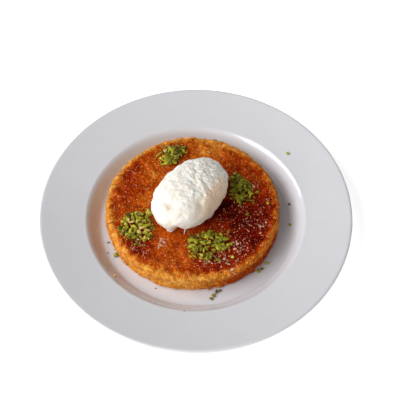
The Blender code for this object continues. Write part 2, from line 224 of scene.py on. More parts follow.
KUNAFA_CENTRE = np.array([-2.2 * MM, 4.1 * MM, 0.0])
KUNAFA_RADIUS = 66.6 * MM
KUNAFA_BOTTOM = kunafa_low.z
KUNAFA_TOP = cream_low.z - GAP
TOP_EDGE_ROUND = 3.6 * MM
BOTTOM_EDGE_ROUND = 1.6 * MM
OUTLINE_WAVES = ((2, 0.006, 0.4), (3, 0.004, 1.9), (5, 0.0035, 4.1), (9, 0.002, 2.6))  # lobes, share, phase

CREAM_CENTRE = np.array([-4.3 * MM, 4.9 * MM, 0.0])
CREAM_TURN = math.radians(48)
CREAM_HALF_LENGTH = 33.6 * MM
CREAM_HALF_WIDTH = 22.4 * MM
CREAM_HALF_HEIGHT = 19.4 * MM

print("plate radius", round(PLATE_RADIUS, 4))
print("kunafa from", round(KUNAFA_BOTTOM, 4), "to", round(KUNAFA_TOP, 4))

# %% [markdown]
# ## Materials
#
# Two effects are used by several finishes, so each is a node group, built once. *Speckle* breaks up
# a colour with soft noise at two sizes, as in porcelain, cream, nuts and crumb, which are never one
# flat colour. *Fine grain* gives a height for a bump node at a size that would take too many points
# as a mesh. The shader itself stays in each material, with its plain numbers set on its own sockets.


# %% Helpers for nodes
def feed(tree, socket, value):
    """Links a socket to an input, or sets the input to a plain number, vector or opaque colour."""
    if isinstance(value, bpy.types.NodeSocket):
        tree.links.new(value, socket)
    else:
        socket.default_value = (*value, 1.0) if socket.type == "RGBA" else value


def add_node(tree, kind, inputs=None, **settings):
    """A node with its settings, then its inputs by label or number, each a socket or a plain value."""
    made = tree.nodes.new(kind)
    for key, value in settings.items():
        setattr(made, key, value)
    for label, value in (inputs or {}).items():
        feed(tree, made.inputs[label], value)
    return made


def math_node(tree, operation, first, second):
    """The sum, difference or product of two inputs."""
    return add_node(tree, "ShaderNodeMath", {0: first, 1: second}, operation=operation).outputs["Value"]


def object_place(tree):
    """The place on the piece, in metres, which moves with it."""
    return add_node(tree, "ShaderNodeTexCoord").outputs["Object"]


def noise_node(tree, scale):
    """Smooth noise over the piece. The scale is in cells for each metre."""
    given = {"Vector": object_place(tree), "Scale": scale}
    return add_node(tree, "ShaderNodeTexNoise", given).outputs["Fac"]


def map_range(tree, value, from_range, to_range=(0.0, 1.0)):
    """The value carried from one range to another in a straight line, and held at the ends."""
    limits = dict(zip(("From Min", "From Max", "To Min", "To Max"), (*from_range, *to_range)))
    return add_node(tree, "ShaderNodeMapRange", {"Value": value, **limits}).outputs["Result"]


def mix_colours(tree, share, first, second):
    """The first colour at share 0 and the second at share 1."""
    mixed = add_node(tree, "ShaderNodeMix", {"Factor": share}, data_type="RGBA")
    for socket, value in zip((s for s in mixed.inputs if s.type == "RGBA"), (first, second)):
        feed(tree, socket, value)
    return next(socket for socket in mixed.outputs if socket.type == "RGBA")


def shaded(tree, colour, shade):
    """A colour times a number."""
    given = {0: colour, "Scale": shade}
    return add_node(tree, "ShaderNodeVectorMath", given, operation="SCALE").outputs["Vector"]


def new_group(name, inputs, outputs):
    """A shader node group. Its inputs are labels with plain values, and its outputs labels with kinds."""
    group = bpy.data.node_groups.new(name, "ShaderNodeTree")
    for label, default in inputs.items():
        kind = "NodeSocketColor" if isinstance(default, tuple) else "NodeSocketFloat"
        group.interface.new_socket(label, in_out="INPUT", socket_type=kind).default_value = default
    for label, kind in outputs.items():
        group.interface.new_socket(label, in_out="OUTPUT", socket_type=kind)
    return group, add_node(group, "NodeGroupInput").outputs, add_node(group, "NodeGroupOutput").inputs


print("node groups before the lesson's own:", len(bpy.data.node_groups))


# %% The two shared groups
def speckle_group():
    """Colour times 1 + 2 contrast (coarse + fine - 1), where fine is the same noise four times as fine."""
    inputs = {"Color": (1, 1, 1, 1), "Scale": 200.0, "Contrast": 0.2}
    group, given, made = new_group("speckle", inputs, {"Color": "NodeSocketColor"})
    coarse = noise_node(group, given["Scale"])
    fine = noise_node(group, math_node(group, "MULTIPLY", given["Scale"], 4.0))
    both = math_node(group, "ADD", coarse, fine)
    swing = math_node(group, "MULTIPLY", math_node(group, "SUBTRACT", both, 1.0), given["Contrast"])
    shade = math_node(group, "ADD", math_node(group, "MULTIPLY", swing, 2.0), 1.0)
    group.links.new(shaded(group, given["Color"], shade), made["Color"])
    return group


def fine_grain_group():
    """Height of small mounds, one minus the distance to the nearest seed with a little noise on top, and a
    random tone from 0 to 1 that is the same all over a mound."""
    inputs = {"Scale": 900.0, "Roughening": 0.3}
    outputs = {"Height": "NodeSocketFloat", "Tone": "NodeSocketFloat"}
    group, given, made = new_group("fine_grain", inputs, outputs)
    spots = {"Vector": object_place(group), "Scale": given["Scale"]}
    cells = add_node(group, "ShaderNodeTexVoronoi", spots).outputs
    mound = math_node(group, "SUBTRACT", 1.0, cells["Distance"])
    noise = noise_node(group, math_node(group, "MULTIPLY", given["Scale"], 2.0))
    extra = math_node(group, "MULTIPLY", noise, given["Roughening"])
    group.links.new(math_node(group, "ADD", mound, extra), made["Height"])
    parts = add_node(group, "ShaderNodeSeparateColor", {"Color": cells["Color"]})
    group.links.new(parts.outputs["Red"], made["Tone"])
    return group


SPECKLE = speckle_group()
FINE_GRAIN = fine_grain_group()
print("nodes in the groups:", len(SPECKLE.nodes), len(FINE_GRAIN.nodes))


# %% A base for every finish
def new_material(name, roughness, **plain):
    """A material with one Principled shader. Numbers that are the same all over go on its own sockets."""
    made = bpy.data.materials.new(name)
    made.use_nodes = True
    shader = made.node_tree.nodes["Principled BSDF"]
    for label, value in {"Roughness": roughness, **plain}.items():
        shader.inputs[label.replace("_", " ")].default_value = value
    return made, made.node_tree, shader


def speckled(tree, colour, scale, contrast):
    """The speckle group placed in a material, with its own scale and contrast."""
    given = {"Color": colour, "Scale": scale, "Contrast": contrast}
    return add_node(tree, "ShaderNodeGroup", given, node_tree=SPECKLE).outputs["Color"]


def grain_bump(tree, shader, scale, roughening, distance, strength):
    """Bump from the fine grain group, in metres of height. Gives the tone of each grain."""
    given = {"Scale": scale, "Roughening": roughening}
    grain = add_node(tree, "ShaderNodeGroup", given, node_tree=FINE_GRAIN).outputs
    given = {"Distance": distance, "Strength": strength, "Height": grain["Height"]}
    tree.links.new(add_node(tree, "ShaderNodeBump", given).outputs["Normal"], shader.inputs["Normal"])
    return grain["Tone"]


def read_attribute(tree, name):
    """The number that each point of the mesh carries under this name."""
    return add_node(tree, "ShaderNodeAttribute", attribute_name=name).outputs["Fac"]


def colour_ramp(tree, value, stops):
    """Colours along a value from 0 to 1."""
    ramp = add_node(tree, "ShaderNodeValToRGB", {"Fac": value})
    elements = ramp.color_ramp.elements
    while len(elements) < len(stops):
        elements.new(0.5)
    for element, (place, colour) in zip(elements, stops):
        element.position = place
        element.color = (*colour, 1.0)
    return ramp.outputs["Color"]


def cover(material, *pieces):
    """Gives a finish to pieces."""
    for piece in pieces:
        piece.data.materials.append(material)
    print(f"{material.name} with {len(material.node_tree.nodes)} nodes on {len(pieces)} pieces")


print("a finish starts from:", bpy.types.ShaderNodeBsdfPrincipled.bl_rna.name)

# %% [markdown]
# ## The plate
#
# White glazed porcelain: a flat well, an S-shaped wall, and a wide rim that rises a little to a
# round lip. It could be lathed with the Screw modifier, but a formula for the profile keeps every
# ring where the solid has it. The glaze is a smooth coat over a pale body, so the finish is a low
# roughness with hardly any bump, and the colour moves only slightly.

# %% Plate mesh
PLATE_COLUMNS = 320
LIP_RINGS = 12
RIM_RINGS = 26
WALL_RINGS = 40
WELL_RINGS = 9
ROUNDING_PASSES = 3


def plate_top(radius):
    """Height of the upper face: flat floor, S-shaped wall by the smooth step, then a gently curling rim."""
    wall = smooth_between(WELL_FOOT_RADIUS, SHOULDER_RADIUS, radius)
    along = np.clip((radius - SHOULDER_RADIUS) / (PLATE_RADIUS - LIP_RADIUS - SHOULDER_RADIUS), 0.0, None)
    rise = (1 - RIM_CURL) * along + RIM_CURL * along**2
    return WELL_FLOOR + (SHOULDER_HEIGHT - WELL_FLOOR) * wall + (PLATE_HEIGHT - SHOULDER_HEIGHT) * rise


def round_off(profile):
    """Chaikin's rule: each corner is replaced by points a quarter along its two edges, which rounds it."""
    for _ in range(ROUNDING_PASSES):
        ahead, back = profile[1:], profile[:-1]
        cut = np.stack([0.75 * back + 0.25 * ahead, 0.25 * back + 0.75 * ahead], axis=1).reshape(-1, 2)
        profile = np.concatenate([profile[:1], cut, profile[-1:]])
    return profile


def plate_profile():
    """(radius, height) from the middle below, out over the foot and the lip, to the middle of the well."""
    foot = [
        (0.0, FOOT_RECESS),
        (FOOT_INNER_RADIUS / 2, FOOT_RECESS),
        (FOOT_INNER_RADIUS - 3 * FOOT_ROUND, FOOT_RECESS),
        (FOOT_INNER_RADIUS - FOOT_ROUND, FOOT_ROUND),
        (FOOT_INNER_RADIUS, 0.0),
        (FOOT_OUTER_RADIUS, 0.0),
        (FOOT_OUTER_RADIUS + FOOT_ROUND, FOOT_ROUND),
        (FOOT_OUTER_RADIUS + 2 * FOOT_ROUND, 4 * FOOT_ROUND),
        (FOOT_OUTER_RADIUS + FOOT_FLARE, WELL_FLOOR - 2 * FOOT_ROUND),
    ]
    under_rim = [(r, float(plate_top(r)) - PLATE_WALL) for r in reversed(UNDER_RIM_RADII)]
    below = round_off(np.array(foot + under_rim))
    turns = np.linspace(math.pi, 0.0, LIP_RINGS)
    rim_end = PLATE_RADIUS - LIP_RADIUS
    round_lip = LIP_RADIUS * np.stack([np.sin(turns), np.cos(turns) - 1], axis=1)
    lip = (rim_end, PLATE_HEIGHT) + round_lip
    stretches = (
        (rim_end, SHOULDER_RADIUS, RIM_RINGS),
        (SHOULDER_RADIUS, WELL_FOOT_RADIUS, WALL_RINGS),
        (WELL_FOOT_RADIUS, 0.0, WELL_RINGS),
    )
    inward = np.concatenate([np.linspace(*stretch)[1:] for stretch in stretches])
    return np.concatenate([below, lip, np.stack([inward, plate_top(inward)], axis=1)])


def turned(profile, columns):
    """The profile carried round +Z: rings of points at (radius cos a, radius sin a, height)."""
    angles = np.linspace(0.0, 2 * math.pi, columns, endpoint=False)
    radius, height = profile[:, :1], profile[:, 1:]
    return np.stack([radius * np.cos(angles), radius * np.sin(angles), height + 0 * angles], axis=-1)


plate_rings = turned(plate_profile(), PLATE_COLUMNS)
plate = add_piece(new_mesh("plate_glazed", *stacked_rings(plate_rings)), "porcelain", "plate")

# %% Plate finish
PORCELAIN = (0.740, 0.742, 0.775)

porcelain, tree, shader = new_material("porcelain", 0.16, Coat_Weight=0.6, Coat_Roughness=0.08)
tree.links.new(speckled(tree, PORCELAIN, 18.0, 0.02), shader.inputs["Base Color"])
grain_bump(tree, shader, 60.0, 1.0, 0.02 * MM, 0.3)
cover(porcelain, plate)

# %% [markdown]
# ## The kunafa
#
# The cake is a low drum with a soft edge. Its surface is crumb: mounds about two millimetres wide
# with finer ones between, and broader lumps down the side. A drum with a Displace modifier would
# come near, but a formula also knows the toppings, so the crust stays low and flat under them. The
# mesh is rings of points from the underside, up the side and over the crust to the middle, moved
# along the surface's own direction by the height of the grains.

# %% Formulas of the cake's form
CRUST_RELIEF = 1.5 * MM
CRUST_CELL = 11.0 * MM
PIT_MEAN = 0.45
PIT_SWING = 0.55
CRUST_SEED = 8
BARE_FROM_CREAM = (1.02, 1.14)  # shares of the scoop's outline over which the crust turns bare
BARE_FROM_HEAP = (0.95, 1.10)
HEAP_MARGIN = 2.0 * MM
FLAT = np.array([1.0, 1.0, 0.0])  # takes the height off points
# Each heap: place, half length and half width in millimetres, turn in degrees, count, seed, palest tone.
HEAPS = {
    "pistachio_heap_back": (-19.5, 50.9, 13.0, 9.0, 35, 22, 11, 1.0),
    "pistachio_heap_left": (-43.6, -16.0, 16.5, 14.5, 60, 36, 23, 1.0),
    "pistachio_heap_front": (8.6, -32.6, 17.5, 13.5, 15, 36, 37, 0.78),
    "pistachio_heap_right": (34.6, 18.2, 15.0, 9.5, 110, 26, 41, 0.8),
}


def outline_share(angles):
    """The cake's radius at each angle, as a share of its mean radius: one plus a few small waves."""
    return 1.0 + sum(share * np.cos(lobes * angles + phase) for lobes, share, phase in OUTLINE_WAVES)


def oval_across(points, x, y, half_length, half_width, turn):
    """1 on an oval seen from above, less inside it and more outside."""
    off_x = points[..., 0] - x
    off_y = points[..., 1] - y
    along = off_x * math.cos(turn) + off_y * math.sin(turn)
    across = off_y * math.cos(turn) - off_x * math.sin(turn)
    return np.hypot(along / half_length, across / half_width)


def cream_across(points):
    """1 on the scoop's outline seen from above, less inside it and more outside."""
    return oval_across(points, *CREAM_CENTRE[:2], CREAM_HALF_LENGTH, CREAM_HALF_WIDTH, CREAM_TURN)


def bare_share(points):
    """0 under the toppings and 1 where the crust is bare."""
    bare = smooth_between(*BARE_FROM_CREAM, cream_across(points))
    for x, y, half_length, half_width, turn, *_ in HEAPS.values():
        sizes = (half_length * MM + HEAP_MARGIN, half_width * MM + HEAP_MARGIN)
        across = oval_across(points, x * MM, y * MM, *sizes, math.radians(turn))
        bare = np.minimum(bare, smooth_between(*BARE_FROM_HEAP, across))
    return bare


def crust_depth(points):
    """How far the crust lies under its flat level: pits by the smooth unevenness, where it is bare."""
    pits = PIT_MEAN + PIT_SWING * unevenness(points * FLAT, CRUST_CELL, CRUST_SEED)
    return CRUST_RELIEF * bare_share(points) * np.clip(pits, 0.0, 1.0)


print("crust's depth at three places, in metres:", crust_depth(np.eye(3) * 50 * MM).round(5))

# %% Cake mesh
KUNAFA_COLUMNS = 640
SIDE_STEP = 0.5 * MM
CRUST_STEP = 0.44 * MM
HIDDEN_RADIUS = 17.0 * MM  # of the crust, under the cream
SIDE_WAVES = (9.0 * MM, 9)  # cell and seed
SIDE_RELIEF = 0.54 * MM
SIDE_INSET = 0.36 * MM
CRUMB_SIZES = ((2.3 * MM, 0.62 * MM, 21), (1.15 * MM, 0.34 * MM, 31))  # cell, height and seed of each
SIDE_LUMPS = (4.6 * MM, 1.0 * MM, 41)


def quarter_round(size, centre, leans):
    """(inset, height, lean) round an edge: inset size (1 - cos lean), height centre + size sin lean."""
    turns = np.radians(leans)
    return list(zip(size * (1 - np.cos(turns)), centre + size * np.sin(turns), leans))


def cake_profile():
    """(inset from the widest radius, height, lean) of the drum. Lean is 0 facing out and 90 facing up."""
    foot_radius = KUNAFA_RADIUS - BOTTOM_EDGE_ROUND
    wall_low, wall_high = KUNAFA_BOTTOM + BOTTOM_EDGE_ROUND, KUNAFA_TOP - TOP_EDGE_ROUND
    under = [(KUNAFA_RADIUS - r, KUNAFA_BOTTOM, -90.0) for r in np.linspace(0, foot_radius, 6)]
    foot = quarter_round(BOTTOM_EDGE_ROUND, wall_low, np.linspace(-90, 0, 6)[1:])
    wall = [(0.0, z, 0.0) for z in np.arange(wall_low + SIDE_STEP, wall_high, SIDE_STEP)]
    edge = quarter_round(TOP_EDGE_ROUND, wall_high, np.linspace(0, 90, 12))
    shown = np.arange(KUNAFA_RADIUS - TOP_EDGE_ROUND - CRUST_STEP, HIDDEN_RADIUS, -CRUST_STEP)
    crust = [(KUNAFA_RADIUS - r, KUNAFA_TOP, 90.0) for r in [*shown, HIDDEN_RADIUS / 2, 0.0]]
    return np.array(under + foot + wall + edge + crust)


def mounds(points, *sizes):
    """Sum over the sizes of height times (one half minus the distance to the nearest seed)."""
    flat = points.reshape(-1, 3)
    total = sum(height * (0.5 - grains(flat, cell, seed)[0]) for cell, height, seed in sizes)
    return total.reshape(points.shape[:-1])


def cake_rings():
    """Rings by angle and profile, moved along their own direction by the side's waves and by the crumb. The
    underside goes down to the well, on which the real cake lies."""
    inset, height, lean = (column[:, None] for column in cake_profile().T)
    angles = np.linspace(0, 2 * math.pi, KUNAFA_COLUMNS, endpoint=False)[None, :]
    outward = np.stack([np.cos(angles), np.sin(angles), 0 * angles], axis=-1)
    radius = np.maximum(KUNAFA_RADIUS - inset, 0.0) * outline_share(angles)
    points = KUNAFA_CENTRE + outward * radius[..., None]
    points[..., 2] = height
    on_side = ((height > KUNAFA_BOTTOM) & (lean < 90.0))[..., None]
    swing = SIDE_RELIEF * unevenness(points, *SIDE_WAVES) - SIDE_INSET
    points = points + outward * on_side * swing[..., None]
    near_top = smooth_between(KUNAFA_TOP - TOP_EDGE_ROUND, KUNAFA_TOP, height)
    points[..., 2] -= near_top * crust_depth(points)
    lean = np.radians(lean)[..., None]
    facing = outward * np.cos(lean) + np.array([0, 0, 1.0]) * np.sin(lean)
    crumb = mounds(points, *CRUMB_SIZES) + np.cos(lean[..., 0]) ** 2 * mounds(points, SIDE_LUMPS)
    rough = smooth_between(0.75, 0.95, cream_across(points)) * (height > KUNAFA_BOTTOM)
    points = points + facing * (crumb * rough)[..., None]
    points[..., 2] = np.where(points[..., 2] <= KUNAFA_BOTTOM, WELL_FLOOR, points[..., 2])
    return points


kunafa_rings = cake_rings()
kunafa_mesh = new_mesh("kunafa_crust", *stacked_rings(kunafa_rings))
print("rings:", kunafa_rings.shape)

# %% [markdown]
# ### How brown the crust is
#
# The crust isn't one brown: the syrup has darkened wide patches, and the edge and side stay golden.
# Some of the dark is painted shade: the cream's shadow on the crust beside it, and the side darker
# at its foot and on the right, away from the window. It could be painted by hand in Texture Paint,
# but a formula needs no picture and works at any size. A number for each point says how brown it
# is, painted shade included, from 0 for pale gold to 1 for almost black. It is a base level, plus a
# few round patches given by place and reach, plus noise, and the loose crumbs read the same rule, so
# that they match what they lie on. The finish turns the number into a colour with a ramp, gives every
# fine grain a shade of its own, and paints a few grains pale pink as painted glints.

# %% Patches of the crust
BASE_BROWN = 0.48
# Patches of the crust: x, y and reach in millimetres, and how much browner or paler they are.
PATCHES = (
    # The first patch, beside the cream, is partly dark syrup and partly the cream's painted shadow.
    (20, 2, 17, 0.34),
    (42, -8, 32, 0.08),
    (53, 2, 18, 0.15),
    (40, -20, 18, 0.25),
    (44, 38, 15, 0.04),
    (28, 48, 12, 0.02),
    (14, -48, 13, 0.23),
    (36, -38, 13, 0.13),
    (-45, -35, 12, 0.28),
    (-53, 40, 13, 0.16),
    (-50, 18, 13, 0.08),
    (12, 57, 13, -0.22),
    (-34, 34, 10, -0.17),
    (-35, 10, 8, -0.16),
    (-23, -47, 15, -0.07),
    (22, -13, 7, -0.12),
)


def patched_brown_and_shadow(points):
    """Base level plus the patches, each its change times exp(-(distance / reach)^2)."""
    brown = np.full(len(points), BASE_BROWN)
    for x, y, reach, change in PATCHES:
        across = oval_across(points, x * MM, y * MM, reach * MM, reach * MM, 0.0)
        brown += change * np.exp(-(across**2))
    return brown


print("patches of the crust:", len(PATCHES))

# %% Browning of the edge and the side
BROWN_NOISE = ((9 * MM, 0.07, 51), (3.4 * MM, 0.03, 52), (1.6 * MM, 0.05, 53))  # cell, swing and seed
EDGE_SHARES = (0.88, 0.985)  # of the radius, over which the edge turns golden
EDGE_RAGS = (0.02, 6 * MM, 54)  # of the radius, cell and seed
SIDE_SHARES = (0.12, 0.35)  # of the height from the top, over which the side turns golden
SIDE_BROWN = 0.13
LEFT_BROWN = 0.06  # more at the front left
# Painted shade: the side is darker towards its foot, for the contact shade there.
FOOT_PAINTED_SHADE = 0.05  # more at the bottom of the side
# Partly browning and partly painted shade: the right side is turned away from the window.
RIGHT_BROWN_AND_SHADE = (0.16, 0.20)  # more on the right, at the edge and again on the side
# Cosines between which the brown of a side grows, and the side's turn in radians.
FRONT_LEFT = (0.45, 0.95, 2.6)
RIGHT_SIDE = (0.15, 0.9, 0.3)
# Shares of the height over which the foot's painted shade grows.
FOOT_SHADE_SHARES = (0.45, 1.0)  # of the height from the top, over which the foot's brown grows
# Shares of the height over which the right side's painted shade grows.
RIGHT_SHADE_SHARES = (0.2, 0.5)  # and the right side's
GRAIN_CELL = 1.7 * MM
GRAIN_BROWN = 0.12  # how far single grains differ


def facing_share(angles, low, high, turn):
    """0 to 1 as the cosine of (angle + turn) goes from the low value to the high one."""
    return smooth_between(low, high, np.cos(angles + turn))


def browning(points):
    """Patches, one of them partly the cream's painted shadow, then a paler edge and side, with painted
    shade at the foot and on the right, then noise: a number from 0 to 1 for each point.
    """
    brown = patched_brown_and_shadow(points)
    off = points - KUNAFA_CENTRE
    angles = np.arctan2(off[:, 1], off[:, 0])
    outness = np.hypot(off[:, 0], off[:, 1]) / (KUNAFA_RADIUS * outline_share(angles))
    depth = (KUNAFA_TOP - points[:, 2]) / (KUNAFA_TOP - KUNAFA_BOTTOM)
    ragged = outness + EDGE_RAGS[0] * unevenness(points, *EDGE_RAGS[1:])
    edge = np.maximum(smooth_between(*EDGE_SHARES, ragged), smooth_between(*SIDE_SHARES, depth))
    # Painted contact shade towards the foot of the side.
    side = SIDE_BROWN + FOOT_PAINTED_SHADE * smooth_between(*FOOT_SHADE_SHARES, depth)
    side += LEFT_BROWN * facing_share(angles, *FRONT_LEFT)
    # Browning and painted shade on the right, away from the window, darker down the side.
    right = RIGHT_BROWN_AND_SHADE[0] + RIGHT_BROWN_AND_SHADE[1] * smooth_between(*RIGHT_SHADE_SHARES, depth)
    side += right * facing_share(angles, *RIGHT_SIDE)
    brown += edge * (side - brown)
    for cell, swing, seed in BROWN_NOISE:
        brown += swing * unevenness(points, cell, seed)
    return np.clip(brown, 0.0, 1.0)


def add_attribute(mesh, name, values):
    """One number for each point of the mesh, which a material reads by its name."""
    attribute = mesh.attributes.new(name, "FLOAT", "POINT")
    attribute.data.foreach_set("value", np.asarray(values, np.float32))


def read_points(mesh, label):
    """The place (co) or the facing (normal) of every point of a mesh."""
    values = np.empty(len(mesh.vertices) * 3, np.float32)
    mesh.vertices.foreach_get(label, values)
    return values.reshape(-1, 3).astype(float)


kunafa_points = read_points(kunafa_mesh, "co")
kunafa_brown_and_shade = browning(kunafa_points)
_, grain_tone = grains(kunafa_points, GRAIN_CELL, 61)
# The brown attribute carries the browning together with its painted shade and shadow.
add_attribute(kunafa_mesh, "brown", np.clip(kunafa_brown_and_shade + GRAIN_BROWN * (grain_tone - 0.5), 0, 1))
kunafa = add_piece(kunafa_mesh, "browned_crust", "kunafa")
print("mean browning", kunafa_brown_and_shade.mean().round(3))

# %% Crust finish
CRUST_COLOURS = (
    (0.00, (0.92, 0.52, 0.12)),
    (0.20, (0.68, 0.25, 0.028)),
    (0.40, (0.47, 0.078, 0.003)),
    (0.60, (0.29, 0.019, 0.001)),
    (0.80, (0.13, 0.004, 0.001)),
    (1.00, (0.035, 0.001, 0.001)),
)
GRAIN_SCALE = 1150.0  # grains for each metre
GRAIN_SHADES = (0.76, 1.24)
# Painted glints: grains with the highest tones are painted pale pink, for light caught by wet syrup.
PAINTED_GLINT_TONES = (0.975, 0.99)
PAINTED_GLINT_COLOUR = (0.75, 0.30, 0.18)


def crust_finish(name, speckle_scale):
    """Browned crumb under syrup: colour by how brown it is, where some of the brown is painted shade, each
    grain a shade of its own, and a few grains painted pale pink as painted glints of light on wet syrup."""
    made, tree, shader = new_material(name, 0.5, Coat_Roughness=0.15, Coat_IOR=1.35, Specular_IOR_Level=0.02)
    brown = read_attribute(tree, "brown")
    colour = speckled(tree, colour_ramp(tree, brown, CRUST_COLOURS), speckle_scale, 0.20)
    tone = grain_bump(tree, shader, GRAIN_SCALE, 0.5, 0.16 * MM, 0.8)
    colour = shaded(tree, colour, map_range(tree, tone, (0.0, 1.0), GRAIN_SHADES))
    # Painted glints on a few grains.
    colour = mix_colours(tree, map_range(tree, tone, PAINTED_GLINT_TONES), colour, PAINTED_GLINT_COLOUR)
    tree.links.new(colour, shader.inputs["Base Color"])
    tree.links.new(map_range(tree, brown, (0.15, 0.6), (0.02, 0.07)), shader.inputs["Coat Weight"])
    return made


cover(crust_finish("browned_crust", 450.0), kunafa)

# %% [markdown]
# ### Loose crumb and shreds
#
# A smooth skin would look moulded. Pastry crumb comes away as small angular grains, and the pastry's
# threads show as short curled shreds, so both are scattered over the cake and sunk a little into
# it. A particle system could scatter them, but the export drops its instances, so each kind is one
# mesh of real faces. A grain starts as a coarse ball, whose radius in every direction is the nearest
# of a few cutting planes, which makes a random many-sided block. The nuts further down do the same.


# %% Balls and blocks
def grid_quads(cells):
    """Quads of a square grid of points that are numbered row after row."""
    row = np.arange(cells)[:, None] * (cells + 1) + np.arange(cells)
    return np.stack([row, row + cells + 1, row + cells + 2, row + 1], axis=-1).reshape(-1, 4)


def ball_grid(cells):
    """Directions and quads of a cube blown up to a ball: six square grids, with shared edges merged."""
    steps = np.tan(np.linspace(-math.pi / 4, math.pi / 4, cells + 1))
    first, second = (g.ravel() for g in np.meshgrid(steps, steps, indexing="ij"))
    one = np.ones_like(first)
    east_west = [(one, first, second), (-one, second, first)]
    north_south = [(second, one, first), (first, -one, second)]
    up_down = [(first, second, one), (second, first, -one)]
    places = np.concatenate([np.stack(side, axis=1) for side in east_west + north_south + up_down])
    keys = np.round(places, 6) + 0.0
    _, kept, number = np.unique(keys, axis=0, return_index=True, return_inverse=True)
    corners = np.concatenate([grid_quads(cells) + side * (cells + 1) ** 2 for side in range(6)])
    directions = places[kept]
    return directions / np.linalg.norm(directions, axis=1, keepdims=True), number.ravel()[corners]


def turn_matrices(spins, tilts):
    """One matrix for each piece: a tilt about X, then a spin about Z."""
    zero, one = np.zeros_like(spins), np.ones_like(spins)
    spin = [np.cos(spins), -np.sin(spins), zero, np.sin(spins), np.cos(spins), zero, zero, zero, one]
    tilt = [one, zero, zero, zero, np.cos(tilts), -np.sin(tilts), zero, np.sin(tilts), np.cos(tilts)]
    return np.stack(spin, axis=-1).reshape(-1, 3, 3) @ np.stack(tilt, axis=-1).reshape(-1, 3, 3)


def half_sizes(rng, count, low, high, width=(0.6, 0.85), height=(0.5, 0.8)):
    """Half length, half width and half height of each piece."""
    long = rng.uniform(low, high, count)
    return np.stack([long, long * rng.uniform(*width, count), long * rng.uniform(*height, count)], axis=1)


LEAST_COSINE = 0.05


def blocks(rng, ball, spots, sizes, tilt, planes, nearest=0.34, farthest=0.78):
    """Blocks at the spots: radius = least of (plane distance / cosine to the plane), scaled to the half
    sizes (long, wide, high), then tilted and spun. Gives an array of (block, point, xyz)."""
    count = len(spots)
    normals = unit_vectors(rng, count * planes).reshape(count, planes, 3)
    distances = rng.uniform(nearest, farthest, size=(count, 1, planes))
    facing = np.einsum("vk,npk->nvp", ball, normals)
    radius = np.minimum((distances / np.maximum(facing, LEAST_COSINE)).min(axis=2), 1.0)
    shapes = ball[None] * radius[..., None] * sizes[:, None, :]
    turns = turn_matrices(rng.uniform(0, 2 * math.pi, count), rng.uniform(-tilt, tilt, count))
    return np.einsum("nvk,njk->nvj", shapes, turns) + spots[:, None, :]


FINE_BALL, SMALL_BALL, NUT_BALL = (ball_grid(cells) for cells in (1, 2, 3))
print("block faces:", [len(quads) for _, quads in (FINE_BALL, SMALL_BALL, NUT_BALL)])

# %% Shreds
STRAND_ROWS = 9
STRAND_SIDES = 5
STRAND_RISE = 3.0  # most that a shred's middle stands off, in its own radii
STRAND_SLANT = 0.1


def strands(rng, roots, normals, lengths, radii, bend):
    """Closed tubes lying along a surface: root + heading s + side bend s^2 / length, raised by a half wave,
    with a radius that narrows to the ends by sqrt(1 - (2s/length)^2)."""
    count = len(roots)
    across = np.cross(normals, unit_vectors(rng, count))
    heading = across / np.linalg.norm(across, axis=1, keepdims=True)
    side = np.cross(normals, heading)
    share = np.linspace(-0.5, 0.5, STRAND_ROWS)[None, :, None]
    bends = rng.uniform(-bend, bend, (count, 1, 1))
    curl = bends * share**2 + rng.uniform(-STRAND_SLANT, STRAND_SLANT, (count, 1, 1)) * share
    rise = rng.uniform(0.0, STRAND_RISE, (count, 1, 1)) * np.cos(math.pi * share) * radii[:, None, None]
    middle = roots[:, None] + (heading[:, None] * share + side[:, None] * curl) * lengths[:, None, None]
    middle = middle + normals[:, None] * rise
    angles = np.linspace(0, 2 * math.pi, STRAND_SIDES, endpoint=False)[None, None, :, None]
    width = radii[:, None, None, None] * np.sqrt(np.maximum(0.0, 1 - (2 * share[..., None]) ** 2))
    ring = side[:, None, None] * np.cos(angles) + normals[:, None, None] * np.sin(angles)
    tube = middle[:, :, None] + ring * width
    inner = tube[:, 1:-1].reshape(count, -1, 3)
    return np.concatenate([tube[:, :1, 0], inner, tube[:, -1:, 0]], axis=1)


def repeated_mesh(name, placed, corners, sizes=None, flat=True, **attributes):
    """One mesh of many shapes with the same faces, from their points as (shape, point, xyz). Each attribute
    has one number for a shape, or one for each of its points."""
    count, step, _ = placed.shape
    moved = corners.ravel() + step * np.arange(count)[:, None]
    mesh = new_mesh(name, placed.reshape(-1, 3), moved, None if sizes is None else np.tile(sizes, count))
    if flat:
        mesh.shade_flat()
    for label, values in attributes.items():
        add_attribute(mesh, label, np.broadcast_to(values.reshape(count, -1), (count, step)).ravel())
    return mesh


def strands_mesh(name, tubes, **attributes):
    """One smooth mesh of many shreds."""
    return repeated_mesh(name, tubes, *ring_faces(STRAND_ROWS, STRAND_SIDES), flat=False, **attributes)


print("faces of a shred:", len(ring_faces(STRAND_ROWS, STRAND_SIDES)[1]))

# %% Crumb and browned shreds over the cake
CRUMB_COUNT = 3000
FINE_CRUMB_COUNT = 12000
SHRED_COUNT = 420
EDGE_ZONE = (0.85, 0.98)  # of the radius, over which more crumb lies
CRUMB_TILT = 1.5  # most, in radians

kunafa_normals = read_points(kunafa_mesh, "normal")
kunafa_outness = np.linalg.norm((kunafa_points - KUNAFA_CENTRE)[:, :2], axis=1) / KUNAFA_RADIUS


